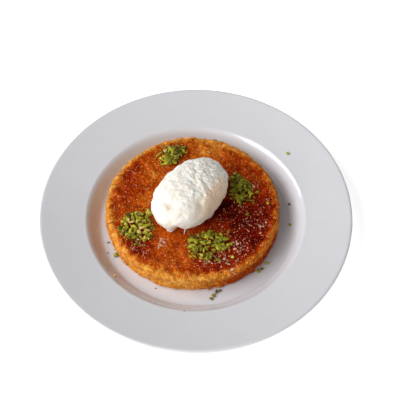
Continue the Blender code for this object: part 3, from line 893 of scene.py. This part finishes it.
def spots_on_cake(rng, count, edge_share):
    """Places on the cake's own points, off the underside and clear of the cream: point, facing, and
    browning with its painted shade.
    """
    shown = (kunafa_points[:, 2] > KUNAFA_BOTTOM + MM) & (cream_across(kunafa_points) > 1.0)
    at_edge = smooth_between(*EDGE_ZONE, kunafa_outness)
    weight = shown * (kunafa_outness * (1 - edge_share) + edge_share * at_edge)
    chosen = rng.choice(len(kunafa_points), count, replace=False, p=weight / weight.sum())
    return kunafa_points[chosen], kunafa_normals[chosen], kunafa_brown_and_shade[chosen]


def crumb_piece(name, rng, ball, count, low, high, planes):
    """Loose grains all over the cake, each a little browner or paler than the crust that it lies on."""
    spots, _, brown = spots_on_cake(rng, count, 0.25)
    sizes = half_sizes(rng, count, low, high, height=(0.6, 0.9))
    placed = blocks(rng, ball[0], spots, sizes, CRUMB_TILT, planes)
    own_brown_and_shade = np.clip(brown + rng.normal(-0.03, 0.12, count), 0, 1)
    return add_piece(repeated_mesh(name, placed, ball[1], brown=own_brown_and_shade), "browned_crust")


def shred_tubes(rng, roots, facing, lengths, radii, bend):
    """Shreds at the roots, with lengths and radii drawn between two values in millimetres."""
    drawn = [rng.uniform(*reach, len(roots)) * MM for reach in (lengths, radii)]
    return strands(rng, roots, facing, *drawn, bend)


rng = np.random.default_rng(81)
crumb = crumb_piece("loose_crumb", rng, SMALL_BALL, CRUMB_COUNT, 0.32 * MM, 0.75 * MM, 6)
fine_crumb = crumb_piece("fine_crumb", rng, FINE_BALL, FINE_CRUMB_COUNT, 0.20 * MM, 0.42 * MM, 4)

roots, facing, root_brown_and_shade = spots_on_cake(rng, SHRED_COUNT, 0.6)
tubes = shred_tubes(rng, roots, facing, (3.0, 8.0), (0.16, 0.30), 1.1)
shred_brown_and_shade = np.clip(root_brown_and_shade + rng.normal(-0.04, 0.12, SHRED_COUNT), 0, 1)
shreds = add_piece(strands_mesh("pastry_shreds", tubes, brown=shred_brown_and_shade), "browned_crust")

# %% [markdown]
# ### Pale shreds, flakes and beads of syrup
#
# Here and there threads have torn off before they browned, and lie in small tangles with a few flat
# flakes. Syrup stands on the crust in small beads that catch the light, most of them where it is
# brown and wet, and many beads are coloured orange or pale pink as painted highlights. Bump alone
# can't stand up and catch light like that, so all of them are meshes.

# %% Pale shreds and flakes
# Places of torn shreds: x, y and how far they spread, in millimetres, and count.
PALE_PLACES = (
    (-26, -30, 4, 10),
    (-41, -33, 7, 7),
    (33, -33, 7, 9),
    (50, -15, 7, 7),
    (24, -45, 10, 12),
    (8, -47, 5, 5),
    (43, 22, 4, 5),
)
PALE_LIFT = 0.25 * MM
FLAKE_HALF_LENGTHS = (0.7 * MM, 2.0 * MM)


def pale_spots(rng):
    """Places on the crust's level, spread round each of the pale places."""
    near = []
    for x, y, reach, count in PALE_PLACES:
        near.append(np.array([x, y, 0.0]) * MM + rng.normal(0, reach * MM / 2, (count, 3)))
    spots = np.concatenate(near)
    spots[:, 2] = KUNAFA_TOP - crust_depth(spots) + PALE_LIFT
    return spots


roots = pale_spots(rng)
tubes = shred_tubes(rng, roots, np.tile([0.0, 0.0, 1.0], (len(roots), 1)), (2, 6), (0.10, 0.20), 1.6)
pale_shreds = add_piece(strands_mesh("pale_shreds", tubes), "browned_crust")

spots = pale_spots(rng)
flake_sizes = half_sizes(rng, len(spots), *FLAKE_HALF_LENGTHS, (0.3, 0.7), (0.2, 0.4))
flakes = blocks(rng, SMALL_BALL[0], spots, flake_sizes, 0.6, 6)
pale_flakes = add_piece(repeated_mesh("pale_flakes", flakes, SMALL_BALL[1]), "browned_crust")

# %% Beads of syrup
BEAD_COUNT = 1500
BEAD_HALF_SIZES = (0.15 * MM, 0.40 * MM)
BEAD_DEPTH = 3 * MM  # how far down the edge the beads go
RED_BROWN = 0.52  # browning from which a bead is red or pink, not orange
WET_BROWNS = (0.35, 0.65)  # browning over which the crust gets wetter
DRY_WEIGHT = 0.4  # chance of a bead on the dry crust, where the wet one has this and 1 more


def beads_mesh(name, rng, count):
    """Small balls on the top crust, more where it is brown and wet. On the pale crust they are orange, as
    painted highlights, and on the brown they are the syrup's own red or pale pink as painted highlights."""
    shown = (kunafa_points[:, 2] > KUNAFA_TOP - BEAD_DEPTH) & (cream_across(kunafa_points) > 1.02)
    weight = (smooth_between(*WET_BROWNS, kunafa_brown_and_shade) + DRY_WEIGHT) * shown * kunafa_outness
    chosen = rng.choice(len(kunafa_points), count, replace=False, p=weight / weight.sum())
    sizes = rng.uniform(*BEAD_HALF_SIZES, (count, 1)) * rng.uniform(0.7, 1.2, (count, 3))
    placed = SMALL_BALL[0][None] * sizes[:, None, :] + kunafa_points[chosen][:, None, :]
    # Painted highlights: on the brown crust more than half the beads are pinkish, on the pale crust all are
    # orange.
    mix = rng.uniform(0, 1, count)
    red_or_painted_glint = np.where(mix < 0.4, mix / 2, 0.5 + mix / 2)
    tones = np.where(kunafa_brown_and_shade[chosen] < RED_BROWN, 0.35 + 0.3 * mix, red_or_painted_glint)
    return repeated_mesh(name, placed, SMALL_BALL[1], flat=False, tone=tones)


beads = add_piece(beads_mesh("syrup_beads", rng, BEAD_COUNT), "browned_crust")

# %% Finishes of the crumb, the pale pastry and the syrup
PALE_PASTRY = (0.74, 0.40, 0.27)
# The red end is the syrup's own colour; the orange and pale pink are painted highlights.
SYRUP_AND_GLINT_COLOURS = (
    (0.00, (0.50, 0.06, 0.02)),
    (0.35, (0.70, 0.25, 0.05)),
    (0.65, (0.85, 0.42, 0.14)),
    (1.00, (0.85, 0.48, 0.36)),
)

pale_pastry, tree, shader = new_material("pale_pastry", 0.45, Coat_Weight=0.3, Coat_Roughness=0.15)
tree.links.new(speckled(tree, PALE_PASTRY, 500.0, 0.3), shader.inputs["Base Color"])
grain_bump(tree, shader, 2500.0, 0.5, 0.05 * MM, 0.6)
cover(pale_pastry, pale_shreds, pale_flakes)

syrup, tree, shader = new_material(
    "syrup", 0.2, Specular_IOR_Level=0.3, Coat_Weight=0.15, Coat_Roughness=0.05
)
syrup_colour = colour_ramp(tree, read_attribute(tree, "tone"), SYRUP_AND_GLINT_COLOURS)
tree.links.new(speckled(tree, syrup_colour, 300.0, 0.4), shader.inputs["Base Color"])
cover(syrup, beads)

cover(crust_finish("browned_crumb", 700.0), crumb, fine_crumb, shreds)

# %% [markdown]
# ## The clotted cream
#
# Thick cream holds the shape of the spoon: an oval mound with full ends and one flank pressed
# smooth, a torn foot that runs out in a few tongues, and a skin of curds and pits. Sculpting would
# do, but can't be repeated, so the form is a formula. A cube's six sides, each a square grid, are
# blown up to a sphere, which spreads the points evenly and leaves no pole to pucker at the top. The
# sphere gets the scoop's form, a torn foot, soft folds, and curds. Cream is white, with a darker,
# warmer beige painted on the flank turned from the window and in the folds: painted shade, and on
# the flank also the crust's warm bounce light painted in. Light goes into cream and out again, so
# the finish has subsurface scattering.

# %% Formula of the scoop
CREAM_CUT = 0.72  # how far under its middle the scoop is flat, in half heights
CREAM_LOW = -CREAM_CUT * CREAM_HALF_HEIGHT
CREAM_SQUARENESS = 0.92  # below 1 the ends are fuller than an ellipsoid's
FLANK_DIRECTION = np.array([0.80, -0.52, 0.28]) / np.linalg.norm([0.80, -0.52, 0.28])
FLANK_REACH = 21.4 * MM
FLANK_EDGE = 0.93 * FLANK_REACH
FLANK_FLATNESS = 0.85
BROAD_CURDS = (12.0 * MM, 12)  # cell and seed
BROAD_RELIEF = 0.55 * MM
SKIRT_LOBES = 7
SKIRT_REACH = 0.015
SKIRT_PHASE = 1.4


def turned_about_z(points, turn):
    """Points turned round +Z by an angle."""
    x, y, z = points.T
    cosine, sine = math.cos(turn), math.sin(turn)
    return np.stack([x * cosine - y * sine, x * sine + y * cosine, z], axis=1)


def scoop(unit):
    """The scoop's form about its own middle: full ends, a smooth flank, a lobed skirt and broad curds."""
    full = np.sign(unit) * np.abs(unit) ** CREAM_SQUARENESS
    low = smooth_between(0.0, CREAM_CUT, -unit[:, 2])
    lobes = 1 + SKIRT_REACH * low * np.sin(SKIRT_LOBES * np.arctan2(unit[:, 1], unit[:, 0]) + SKIRT_PHASE)
    shares = np.stack([lobes, lobes, np.ones_like(lobes)], axis=1)
    sizes = np.array([CREAM_HALF_LENGTH, CREAM_HALF_WIDTH, CREAM_HALF_HEIGHT])
    points = turned_about_z(full * sizes * shares, CREAM_TURN)
    over = np.maximum(0.0, points @ FLANK_DIRECTION - FLANK_REACH)
    points = points - FLANK_DIRECTION * (over * FLANK_FLATNESS)[:, None]
    relief = BROAD_RELIEF * unevenness(points, *BROAD_CURDS)
    return points * (1 + relief / np.linalg.norm(points, axis=1))[:, None]


print("scoop's ends reach", scoop(np.eye(3)).round(4).tolist())

# %% Torn foot
# Tongues and notches at the foot: angle and width in degrees, reach and height in millimetres.
TONGUES = (
    (178, 12, 1.5, 8),
    (-158, 12, 4.0, 8),
    (-141, 9, 2.8, 8),
    (-122, 7, 4.2, 7),
    (-110, 4.5, -8.5, 16),
    (-101, 7, -3.2, 10),
    (-99.5, 2.4, 9.5, 2.8),
    (-88, 5, -2.8, 9),
    (-74, 5, -0.6, 6),
    (-60, 5, 1.2, 6),
    (-35, 8, 2.2, 6),
)
FOOT_RAGS = (1.1 * MM, 5.0 * MM, 3.4 * MM, 77)  # how far they reach, height, cell and seed


def torn_foot(points):
    """Moves the lowest part out in tongues or in by notches, each a bell curve round its angle that fades
    upwards, and rags the edge all round by the smooth unevenness."""
    angles = np.degrees(np.arctan2(points[:, 1], points[:, 0]))
    over_cut = points[:, 2] - CREAM_LOW
    reach, rag_height, cell, seed = FOOT_RAGS
    out = points * FLAT
    move = reach * (1 - smooth_between(0.0, rag_height, over_cut)) * unevenness(out, cell, seed)
    for angle, width, reach, height in TONGUES:
        off = (angles - angle + 180) % 360 - 180
        move += reach * MM * (1 - smooth_between(0.0, height * MM, over_cut)) * np.exp(-((off / width) ** 2))
    out /= np.maximum(np.linalg.norm(out, axis=1, keepdims=True), MM)
    return points + out * move[:, None]


print("tongues and notches:", len(TONGUES))

# %% Folds and curds
# Soft folds and swells: place from the scoop's middle, reach across and up, and height, in millimetres.
FOLDS = (
    (-14.0, -20.0, 10.0, 4.2, 6.0, -3.6),
    (7.5, -18.5, 9.5, 3.8, 9.0, -3.2),
    (0.5, -25.0, 3.0, 5.0, 10.0, 2.2),
    (9.5, -20.5, 0.0, 4.5, 10.0, 2.0),
    (-22.2, -9.0, 11.8, 9.0, 9.0, 0.9),
    (12.1, -3.9, 16.3, 4.0, 4.0, -0.5),
    (3.1, -3.9, 18.9, 4.0, 4.0, -0.4),
    (16.6, 11.4, 15.2, 4.0, 4.0, -0.5),
    (13.5, -9.1, 13.4, 4.0, 4.0, 0.6),
    (-5.9, 10.4, 16.6, 8.0, 5.0, 0.6),
    (-8.5, -22.5, -9.0, 5.0, 8.0, -2.6),
)
# Cell, height and seed of each size of curd or pit, and of the soft waves.
CURD_SIZES = ((4.6 * MM, 2.0 * MM, 71), (2.8 * MM, -1.7 * MM, 72), (1.9 * MM, 0.3 * MM, 76))
SOFT_SIZES = ((5.0 * MM, 0.24 * MM, 74), (2.2 * MM, 0.12 * MM, 75))
CURDS_AT_LEFT = 0.42  # share of the curds' height at the front left, where the back right has all of it
CURDS_GROW = (-12 * MM, 10 * MM)  # between these places, from the front left to the back right
PATCHY_CURDS = (0.75, 0.5, 7.0 * MM, 73)  # mean, swing, cell and seed
SMOOTHED = 0.9  # share of the curds that the spoon took off the flank
RIDGE_HEIGHT = 0.35 * MM  # of the ridge that it left along the flank's edge
RIDGE_REACH = 1.5 * MM


def fold_heights(points):
    """Sum over the folds of height exp(-(distance / reach)^2)."""
    rise = np.zeros(len(points))
    for x, y, z, across, up, height in FOLDS:
        off = (points / MM - (x, y, z)) / (across, across, up)
        rise += height * MM * np.exp(-(off**2).sum(axis=1))
    return rise


def curdled(points, unit):
    """Curds and pits along each direction from the middle, deeper at the back right and almost none on the
    flank, over soft waves."""
    over = points @ FLANK_DIRECTION - FLANK_EDGE
    rough = 1 - SMOOTHED * smooth_between(0.0, 2.0 * MM, over)
    to_back_right = smooth_between(*CURDS_GROW, points[:, 0] + 0.7 * points[:, 1])
    mean, swing, cell, seed = PATCHY_CURDS
    pitted = CURDS_AT_LEFT + (1 - CURDS_AT_LEFT) * to_back_right
    pitted *= mean + swing * unevenness(points, cell, seed)
    soft = sum(height * unevenness(points, cell, seed) for cell, height, seed in SOFT_SIZES)
    ridge = RIDGE_HEIGHT * np.exp(-((over / RIDGE_REACH) ** 2))
    ridge *= smooth_between(2 * MM, 8 * MM, points[:, 2])
    return points + unit * ((mounds(points, *CURD_SIZES) * pitted + soft) * rough + ridge)[:, None]


print("folds and swells:", len(FOLDS))

# %% Cream mesh
CREAM_GRID = 118
# Painted shade on the cream: a darker, warmer beige on the flank turned from the window, with the crust's
# bounce light, and in the folds.
PAINTED_SHADE_FLANK = (-4 * MM, 2 * MM)  # past the flank's edge
PAINTED_SHADE_FOLDS = (0.3 * MM, 2.6 * MM)  # deep

cream_unit, cream_quads = ball_grid(CREAM_GRID)
smooth_cream = torn_foot(scoop(cream_unit))
rise = fold_heights(smooth_cream)
cream_points = curdled(smooth_cream + cream_unit * rise[:, None], cream_unit)
cream_points[:, 2] = np.maximum(cream_points[:, 2], CREAM_LOW - 2 * GAP)
painted_cream_shade = np.maximum(
    smooth_between(*PAINTED_SHADE_FLANK, cream_points @ FLANK_DIRECTION - FLANK_EDGE),
    0.6 * smooth_between(*PAINTED_SHADE_FOLDS, -rise),
)
cream_middle = CREAM_CENTRE + np.array([0.0, 0.0, KUNAFA_TOP + GAP - CREAM_LOW])
cream_mesh = new_mesh("cream_scoop", cream_points + cream_middle, cream_quads)
add_attribute(cream_mesh, "painted_cream_shade", painted_cream_shade)
cream = add_piece(cream_mesh, "clotted_cream", "clotted_cream")

# %% Cream finish
CREAM_WHITE = (0.895, 0.86, 0.79)
# Colour of the painted shade on the flank and in the folds.
CREAM_PAINTED_SHADE = (0.87, 0.69, 0.525)
CREAM_SCATTER = (1.0, 0.85, 0.65)  # red light goes furthest into it

cream_finish, tree, shader = new_material(
    "clotted_cream", 0.42, Specular_IOR_Level=0.2, Subsurface_Weight=0.7, Subsurface_Scale=4.5 * MM
)
shader.inputs["Subsurface Radius"].default_value = CREAM_SCATTER
white = speckled(tree, CREAM_WHITE, 260.0, 0.05)
# The painted shade mixed in over the white.
cream_colour = mix_colours(tree, read_attribute(tree, "painted_cream_shade"), white, CREAM_PAINTED_SHADE)
tree.links.new(cream_colour, shader.inputs["Base Color"])
grain_bump(tree, shader, 1300.0, 0.8, 0.16 * MM, 0.7)
cover(cream_finish, cream)

# %% [markdown]
# ## Chopped pistachio
#
# A chopped nut is a small block with flat cuts and sharp corners, by the same rule as the crumb. All
# the pieces of a heap are worked out in one array. The larger ones lie where the solid has its own,
# smaller ones fill the gaps down to the crust, and dust lies in and around the heaps. A fifth of the
# pieces keep a patch of the brown skin on one side. Physics could drop the pieces, but it would move
# them off the solid, so a spiral places them: the sunflower's rule spreads any count evenly. Every
# piece carries one tone, from dark green to pale, and the finish turns that number into a colour.

# %% Heaps
GOLDEN_ANGLE = math.pi * (3 - math.sqrt(5))
HEAP_HEIGHT = 5.0 * MM
HEAP_BOTTOM = KUNAFA_TOP + GAP
CORE_SHARE = 0.45
DOME_POWER = 0.35
HEAP_WAVES = ((3, 0.09, 0.0), (5, 0.05, 1.1))  # lobes, share of the reach, phase
SPIRAL_SWING = 0.5
NIB_HALF_SIZES = (2.3 * MM, 4.0 * MM)
SMALL_NIB_HALF_SIZES = (1.1 * MM, 2.8 * MM)
SMALL_NIBS_PER_LARGE = 2.3
NIB_SHAPE = {"width": (0.38, 0.8), "height": (0.35, 0.7)}  # shares of the half length
# How high pieces lie, as shares of the heap's rise under them, and their greatest tilt in radians.
LARGE_LIFT = (0.9, 1.6)
SMALL_LIFT = (0.2, 2.0)
HEAP_TILT = 1.3
LYING_TILT = 0.4
CREAM_ROOM = 0.8  # of a piece's half length, which stays clear of the cream
NUT_PLANES = 9
SKIN_SHARE = 0.2
SKIN_EDGE = (0.4, 0.75)  # cosines between which the skin begins
LOWEST_NUT = KUNAFA_TOP - MM


def core_rise(reach):
    """Height of a heap under its pieces at a share of its reach: nearly flat, with a steep edge."""
    return HEAP_HEIGHT * CORE_SHARE * np.maximum(0.0, 1 - reach**2) ** DOME_POWER


def heap_spots(rng, heap, count, lift, size):
    """Places in a heap by a sunflower spiral out to its lobed oval, clear of the cream."""
    x, y, half_length, half_width, turn, *_ = heap
    k = np.arange(count)
    reach = np.sqrt((k + 0.5) / count)
    angles = k * GOLDEN_ANGLE + rng.uniform(-SPIRAL_SWING, SPIRAL_SWING, count)
    lobes = 1 + sum(share * np.cos(lobe * angles + phase) for lobe, share, phase in HEAP_WAVES)
    along = reach * lobes * (half_length * MM - size) * np.cos(angles)
    across = reach * lobes * (half_width * MM - size) * np.sin(angles)
    flat = np.stack([along, across, np.zeros(count)], axis=1)
    spots = turned_about_z(flat, math.radians(turn)) + np.array([x * MM, y * MM, HEAP_BOTTOM])
    spots[:, 2] += core_rise(reach) * rng.uniform(*lift, count)
    room = (cream_across(spots) - 1) * CREAM_HALF_WIDTH
    return spots[room > size * CREAM_ROOM]


def skin_patches(rng, count):
    """1 on one side of a share of the pieces, fading to 0 elsewhere, for each point of each piece."""
    facing = unit_vectors(rng, count) @ NUT_BALL[0].T
    return smooth_between(*SKIN_EDGE, facing) * (rng.uniform(0, 1, (count, 1)) < SKIN_SHARE)


def nuts_mesh(name, rng, spots, sizes, tilt, palest):
    """Chopped nuts at the spots, none of them deep in the crust."""
    placed = blocks(rng, NUT_BALL[0], spots, sizes, tilt, NUT_PLANES, 0.36)
    placed[..., 2] = np.maximum(placed[..., 2], LOWEST_NUT)
    tones = rng.uniform(0, palest, len(spots))
    return repeated_mesh(name, placed, NUT_BALL[1], tone=tones, skin=skin_patches(rng, len(spots)))


def heap_mesh(name, heap):
    """Large pieces in a heap, and small ones between them."""
    *_, count, seed, palest = heap
    rng = np.random.default_rng(seed)
    small_count = int(count * SMALL_NIBS_PER_LARGE)
    large = heap_spots(rng, heap, count, LARGE_LIFT, NIB_HALF_SIZES[0])
    small = heap_spots(rng, heap, small_count, SMALL_LIFT, SMALL_NIB_HALF_SIZES[0])
    sizes = [
        half_sizes(rng, len(spots), *reach, **NIB_SHAPE)
        for spots, reach in ((large, NIB_HALF_SIZES), (small, SMALL_NIB_HALF_SIZES))
    ]
    return nuts_mesh(name, rng, np.concatenate([large, small]), np.concatenate(sizes), HEAP_TILT, palest)


heaps = [add_piece(heap_mesh(f"{node}_nuts", heap), "pistachio", node) for node, heap in HEAPS.items()]

# %% Nut dust
DUST_HALF_SIZES = (0.35 * MM, 0.95 * MM)
DUST_COUNT = 90  # for each heap
DUST_SPREAD = 1.12  # of the heap
DUST_LIFT = (0.0, 2.2)


def dust_mesh(name, rng):
    """Fine bits of nut in and around all the heaps, more of them pale than among the larger pieces."""
    spread = [(x, y, a * DUST_SPREAD, b * DUST_SPREAD, turn) for x, y, a, b, turn, *_ in HEAPS.values()]
    spots = np.concatenate([heap_spots(rng, heap, DUST_COUNT, DUST_LIFT, 0.0) for heap in spread])
    sizes = half_sizes(rng, len(spots), *DUST_HALF_SIZES, width=(0.4, 0.9), height=(0.3, 0.8))
    placed = blocks(rng, SMALL_BALL[0], spots, sizes, CRUMB_TILT, 4)
    placed[..., 2] = np.maximum(placed[..., 2], LOWEST_NUT)
    return repeated_mesh(name, placed, SMALL_BALL[1], tone=rng.uniform(0.2, 1.1, len(spots)).clip(0, 1))


nut_dust = add_piece(dust_mesh("nut_dust", np.random.default_rng(6)), "pistachio")

# %% Loose nuts, and crumbs of nut on the plate
# Places of the loose nuts: x and y in millimetres.
LOOSE_NIBS = (
    (39.9, -4.1),
    (48.0, 16.5),
    (17.1, -44.4),
    (24.5, -20.5),
    (-26.4, -13.9),
    (55.5, 6.0),
    (27.5, -42.0),
)
# Crumbs on the plate: x, y and half length in millimetres, tone (0 dark green, 1 pale), share of skin.
PLATE_CRUMBS = (
    (-66.9, -28.2, 1.0, 0.2, 0.2),
    (-61.2, -31.0, 2.5, 0.5, 0.0),
    (-66.8, -19.1, 1.8, 0.0, 1.0),
    (-60.0, -52.1, 2.2, 1.0, 0.0),
    (-29.9, -59.1, 0.9, 0.8, 0.8),
    (15.7, -63.1, 2.4, 0.1, 0.5),
    (13.7, -65.6, 2.1, 0.6, 0.5),
    (18.4, -61.4, 1.7, 0.0, 0.2),
    (11.6, -68.6, 1.9, 0.4, 0.4),
    (47.6, -44.6, 2.4, 0.6, 0.5),
    (50.1, -42.6, 1.6, 0.1, 0.6),
    (54.2, -38.4, 2.2, 0.8, 0.4),
    (73.1, -2.7, 1.6, 0.4, 0.0),
    (73.4, 15.4, 1.6, 0.1, 0.6),
    (73.4, 56.9, 2.0, 0.9, 0.2),
    (-8.2, -84.3, 0.7, 0.8, 0.7),
)

rng = np.random.default_rng(5)
loose_spots = np.array([(x * MM, y * MM, KUNAFA_TOP) for x, y in LOOSE_NIBS])
loose_sizes = half_sizes(rng, len(loose_spots), 1.6 * MM, 2.5 * MM)
loose_mesh = nuts_mesh("loose_nuts", rng, loose_spots, loose_sizes, LYING_TILT, 1.0)
loose_nuts = add_piece(loose_mesh, "pistachio")

x, y, size, crumb_tones, crumb_skins = np.array(PLATE_CRUMBS).T
x, y, size = x * MM, y * MM, size * MM
spots = np.stack([x, y, plate_top(np.hypot(x, y)) + size * 0.5], axis=1)
crumb_sizes = size[:, None] * half_sizes(rng, len(size), 1.0, 1.0)
placed = blocks(rng, NUT_BALL[0], spots, crumb_sizes, LYING_TILT, NUT_PLANES, 0.3)
plate_crumb_mesh = repeated_mesh("plate_crumbs", placed, NUT_BALL[1], tone=crumb_tones, skin=crumb_skins)
plate_crumbs = add_piece(plate_crumb_mesh, "pistachio")

# %% Pistachio finish
NUT_COLOURS = (
    (0.00, (0.085, 0.075, 0.006)),
    (0.30, (0.235, 0.225, 0.010)),
    (0.65, (0.40, 0.38, 0.018)),
    (0.90, (0.60, 0.53, 0.06)),
    (1.00, (0.74, 0.50, 0.22)),
)
SKIN_COLOUR = (0.20, 0.12, 0.05)

pistachio, tree, shader = new_material(
    "pistachio", 0.55, Specular_IOR_Level=0.25, Subsurface_Weight=0.1, Subsurface_Scale=MM
)
shader.inputs["Subsurface Radius"].default_value = (0.8, 1.0, 0.3)
nut_colour = speckled(tree, colour_ramp(tree, read_attribute(tree, "tone"), NUT_COLOURS), 700.0, 0.35)
nut_colour = mix_colours(tree, read_attribute(tree, "skin"), nut_colour, SKIN_COLOUR)
tree.links.new(nut_colour, shader.inputs["Base Color"])
grain_bump(tree, shader, 2200.0, 0.6, 0.08 * MM, 0.8)
cover(pistachio, *heaps, nut_dust, loose_nuts, plate_crumbs)

# %% [markdown]
# ## Floor, light and camera
#
# The dish stands on a plain white floor, which gives off a little light of its own, so that it stays
# nearly white beside the plate. A large soft window on the left lights the food, a weak wall on the
# right fills the shadows, and the room is brighter in front and on the left, which gives the glaze
# something to mirror. A studio picture on the world would do that too, but would need a file. The
# camera looks down at 56 degrees.

# %% Floor
FLOOR_HALF = 3.0
FLOOR_CELLS = 40
FLOOR_WHITE = (0.93, 0.93, 0.93)


def floor_mesh():
    """A flat square grid just under the plate's foot."""
    steps = np.linspace(-FLOOR_HALF, FLOOR_HALF, FLOOR_CELLS + 1)
    x, y = (g.ravel() for g in np.meshgrid(steps, steps, indexing="ij"))
    return new_mesh("floor", np.stack([x, y, np.full_like(x, -0.02 * MM)], axis=1), grid_quads(FLOOR_CELLS))


floor = add_object("floor", floor_mesh())
floor_finish, tree, shader = new_material(
    "pale_floor", 0.9, Specular_IOR_Level=0.1, Emission_Color=(1, 1, 1, 1), Emission_Strength=0.6
)
tree.links.new(speckled(tree, FLOOR_WHITE, 3.0, 0.01), shader.inputs["Base Color"])
cover(floor_finish, floor)

# %% Lights
from mathutils import Vector


def add_light(name, azimuth, elevation, distance, width, height, energy, colour):
    """A wide area light that faces the middle of the food from an azimuth and elevation in degrees."""
    lamp = bpy.data.lights.new(name, "AREA")
    lamp.shape = "RECTANGLE"
    lamp.size = width
    lamp.size_y = height
    lamp.energy = energy
    lamp.color = colour
    turn, rise = math.radians(azimuth), math.radians(elevation)
    away = Vector((math.cos(turn) * math.cos(rise), math.sin(turn) * math.cos(rise), math.sin(rise)))
    light = add_object(name, lamp)
    light.location = away * distance
    light.rotation_euler = away.to_track_quat("Z", "Y").to_euler()


add_light("window", 188, 43, 6.0, 6.6, 3.8, 378.0, (0.965, 0.975, 1.0))
add_light("far_wall", 10, 14, 6.0, 5.0, 2.4, 36.0, (1.0, 0.96, 0.90))

# %% Room
# Brightness from the room's far side (0) to its bright side (1), which is in front and on the left.
ROOM_COLOURS = (
    (0.0, (0.02, 0.02, 0.02)),
    (0.5, (0.13, 0.128, 0.122)),
    (0.75, (0.42, 0.41, 0.39)),
    (1.0, (1.30, 1.27, 1.20)),
)
BRIGHT_SIDE = (-0.55, -0.83, 0.10)

world = bpy.data.worlds.new("pale_room")
world.use_nodes = True
tree = world.node_tree
direction = add_node(tree, "ShaderNodeTexCoord").outputs["Generated"]
facing = add_node(tree, "ShaderNodeVectorMath", {0: direction, 1: BRIGHT_SIDE}, operation="DOT_PRODUCT")
brightness = math_node(tree, "ADD", math_node(tree, "MULTIPLY", facing.outputs["Value"], 0.5), 0.5)
tree.links.new(colour_ramp(tree, brightness, ROOM_COLOURS), tree.nodes["Background"].inputs["Color"])
tree.nodes["Background"].inputs["Strength"].default_value = 1.0
bpy.context.scene.world = world
bpy.context.scene.view_settings.view_transform = "Standard"
print("room:", world.name)

# %% Camera
CAMERA_PLACE = (0.0033, -0.49421, 0.7761)
CAMERA_PITCH = math.radians(33.755)
CAMERA_LENS = 106.03
SENSOR_WIDTH = 36.0

lens = bpy.data.cameras.new("camera")
lens.lens = CAMERA_LENS
lens.sensor_width = SENSOR_WIDTH
camera = add_object("camera", lens)
camera.location = CAMERA_PLACE
camera.rotation_euler = (CAMERA_PITCH, 0.0, 0.0)
bpy.context.scene.camera = camera
print("camera at", CAMERA_PLACE)
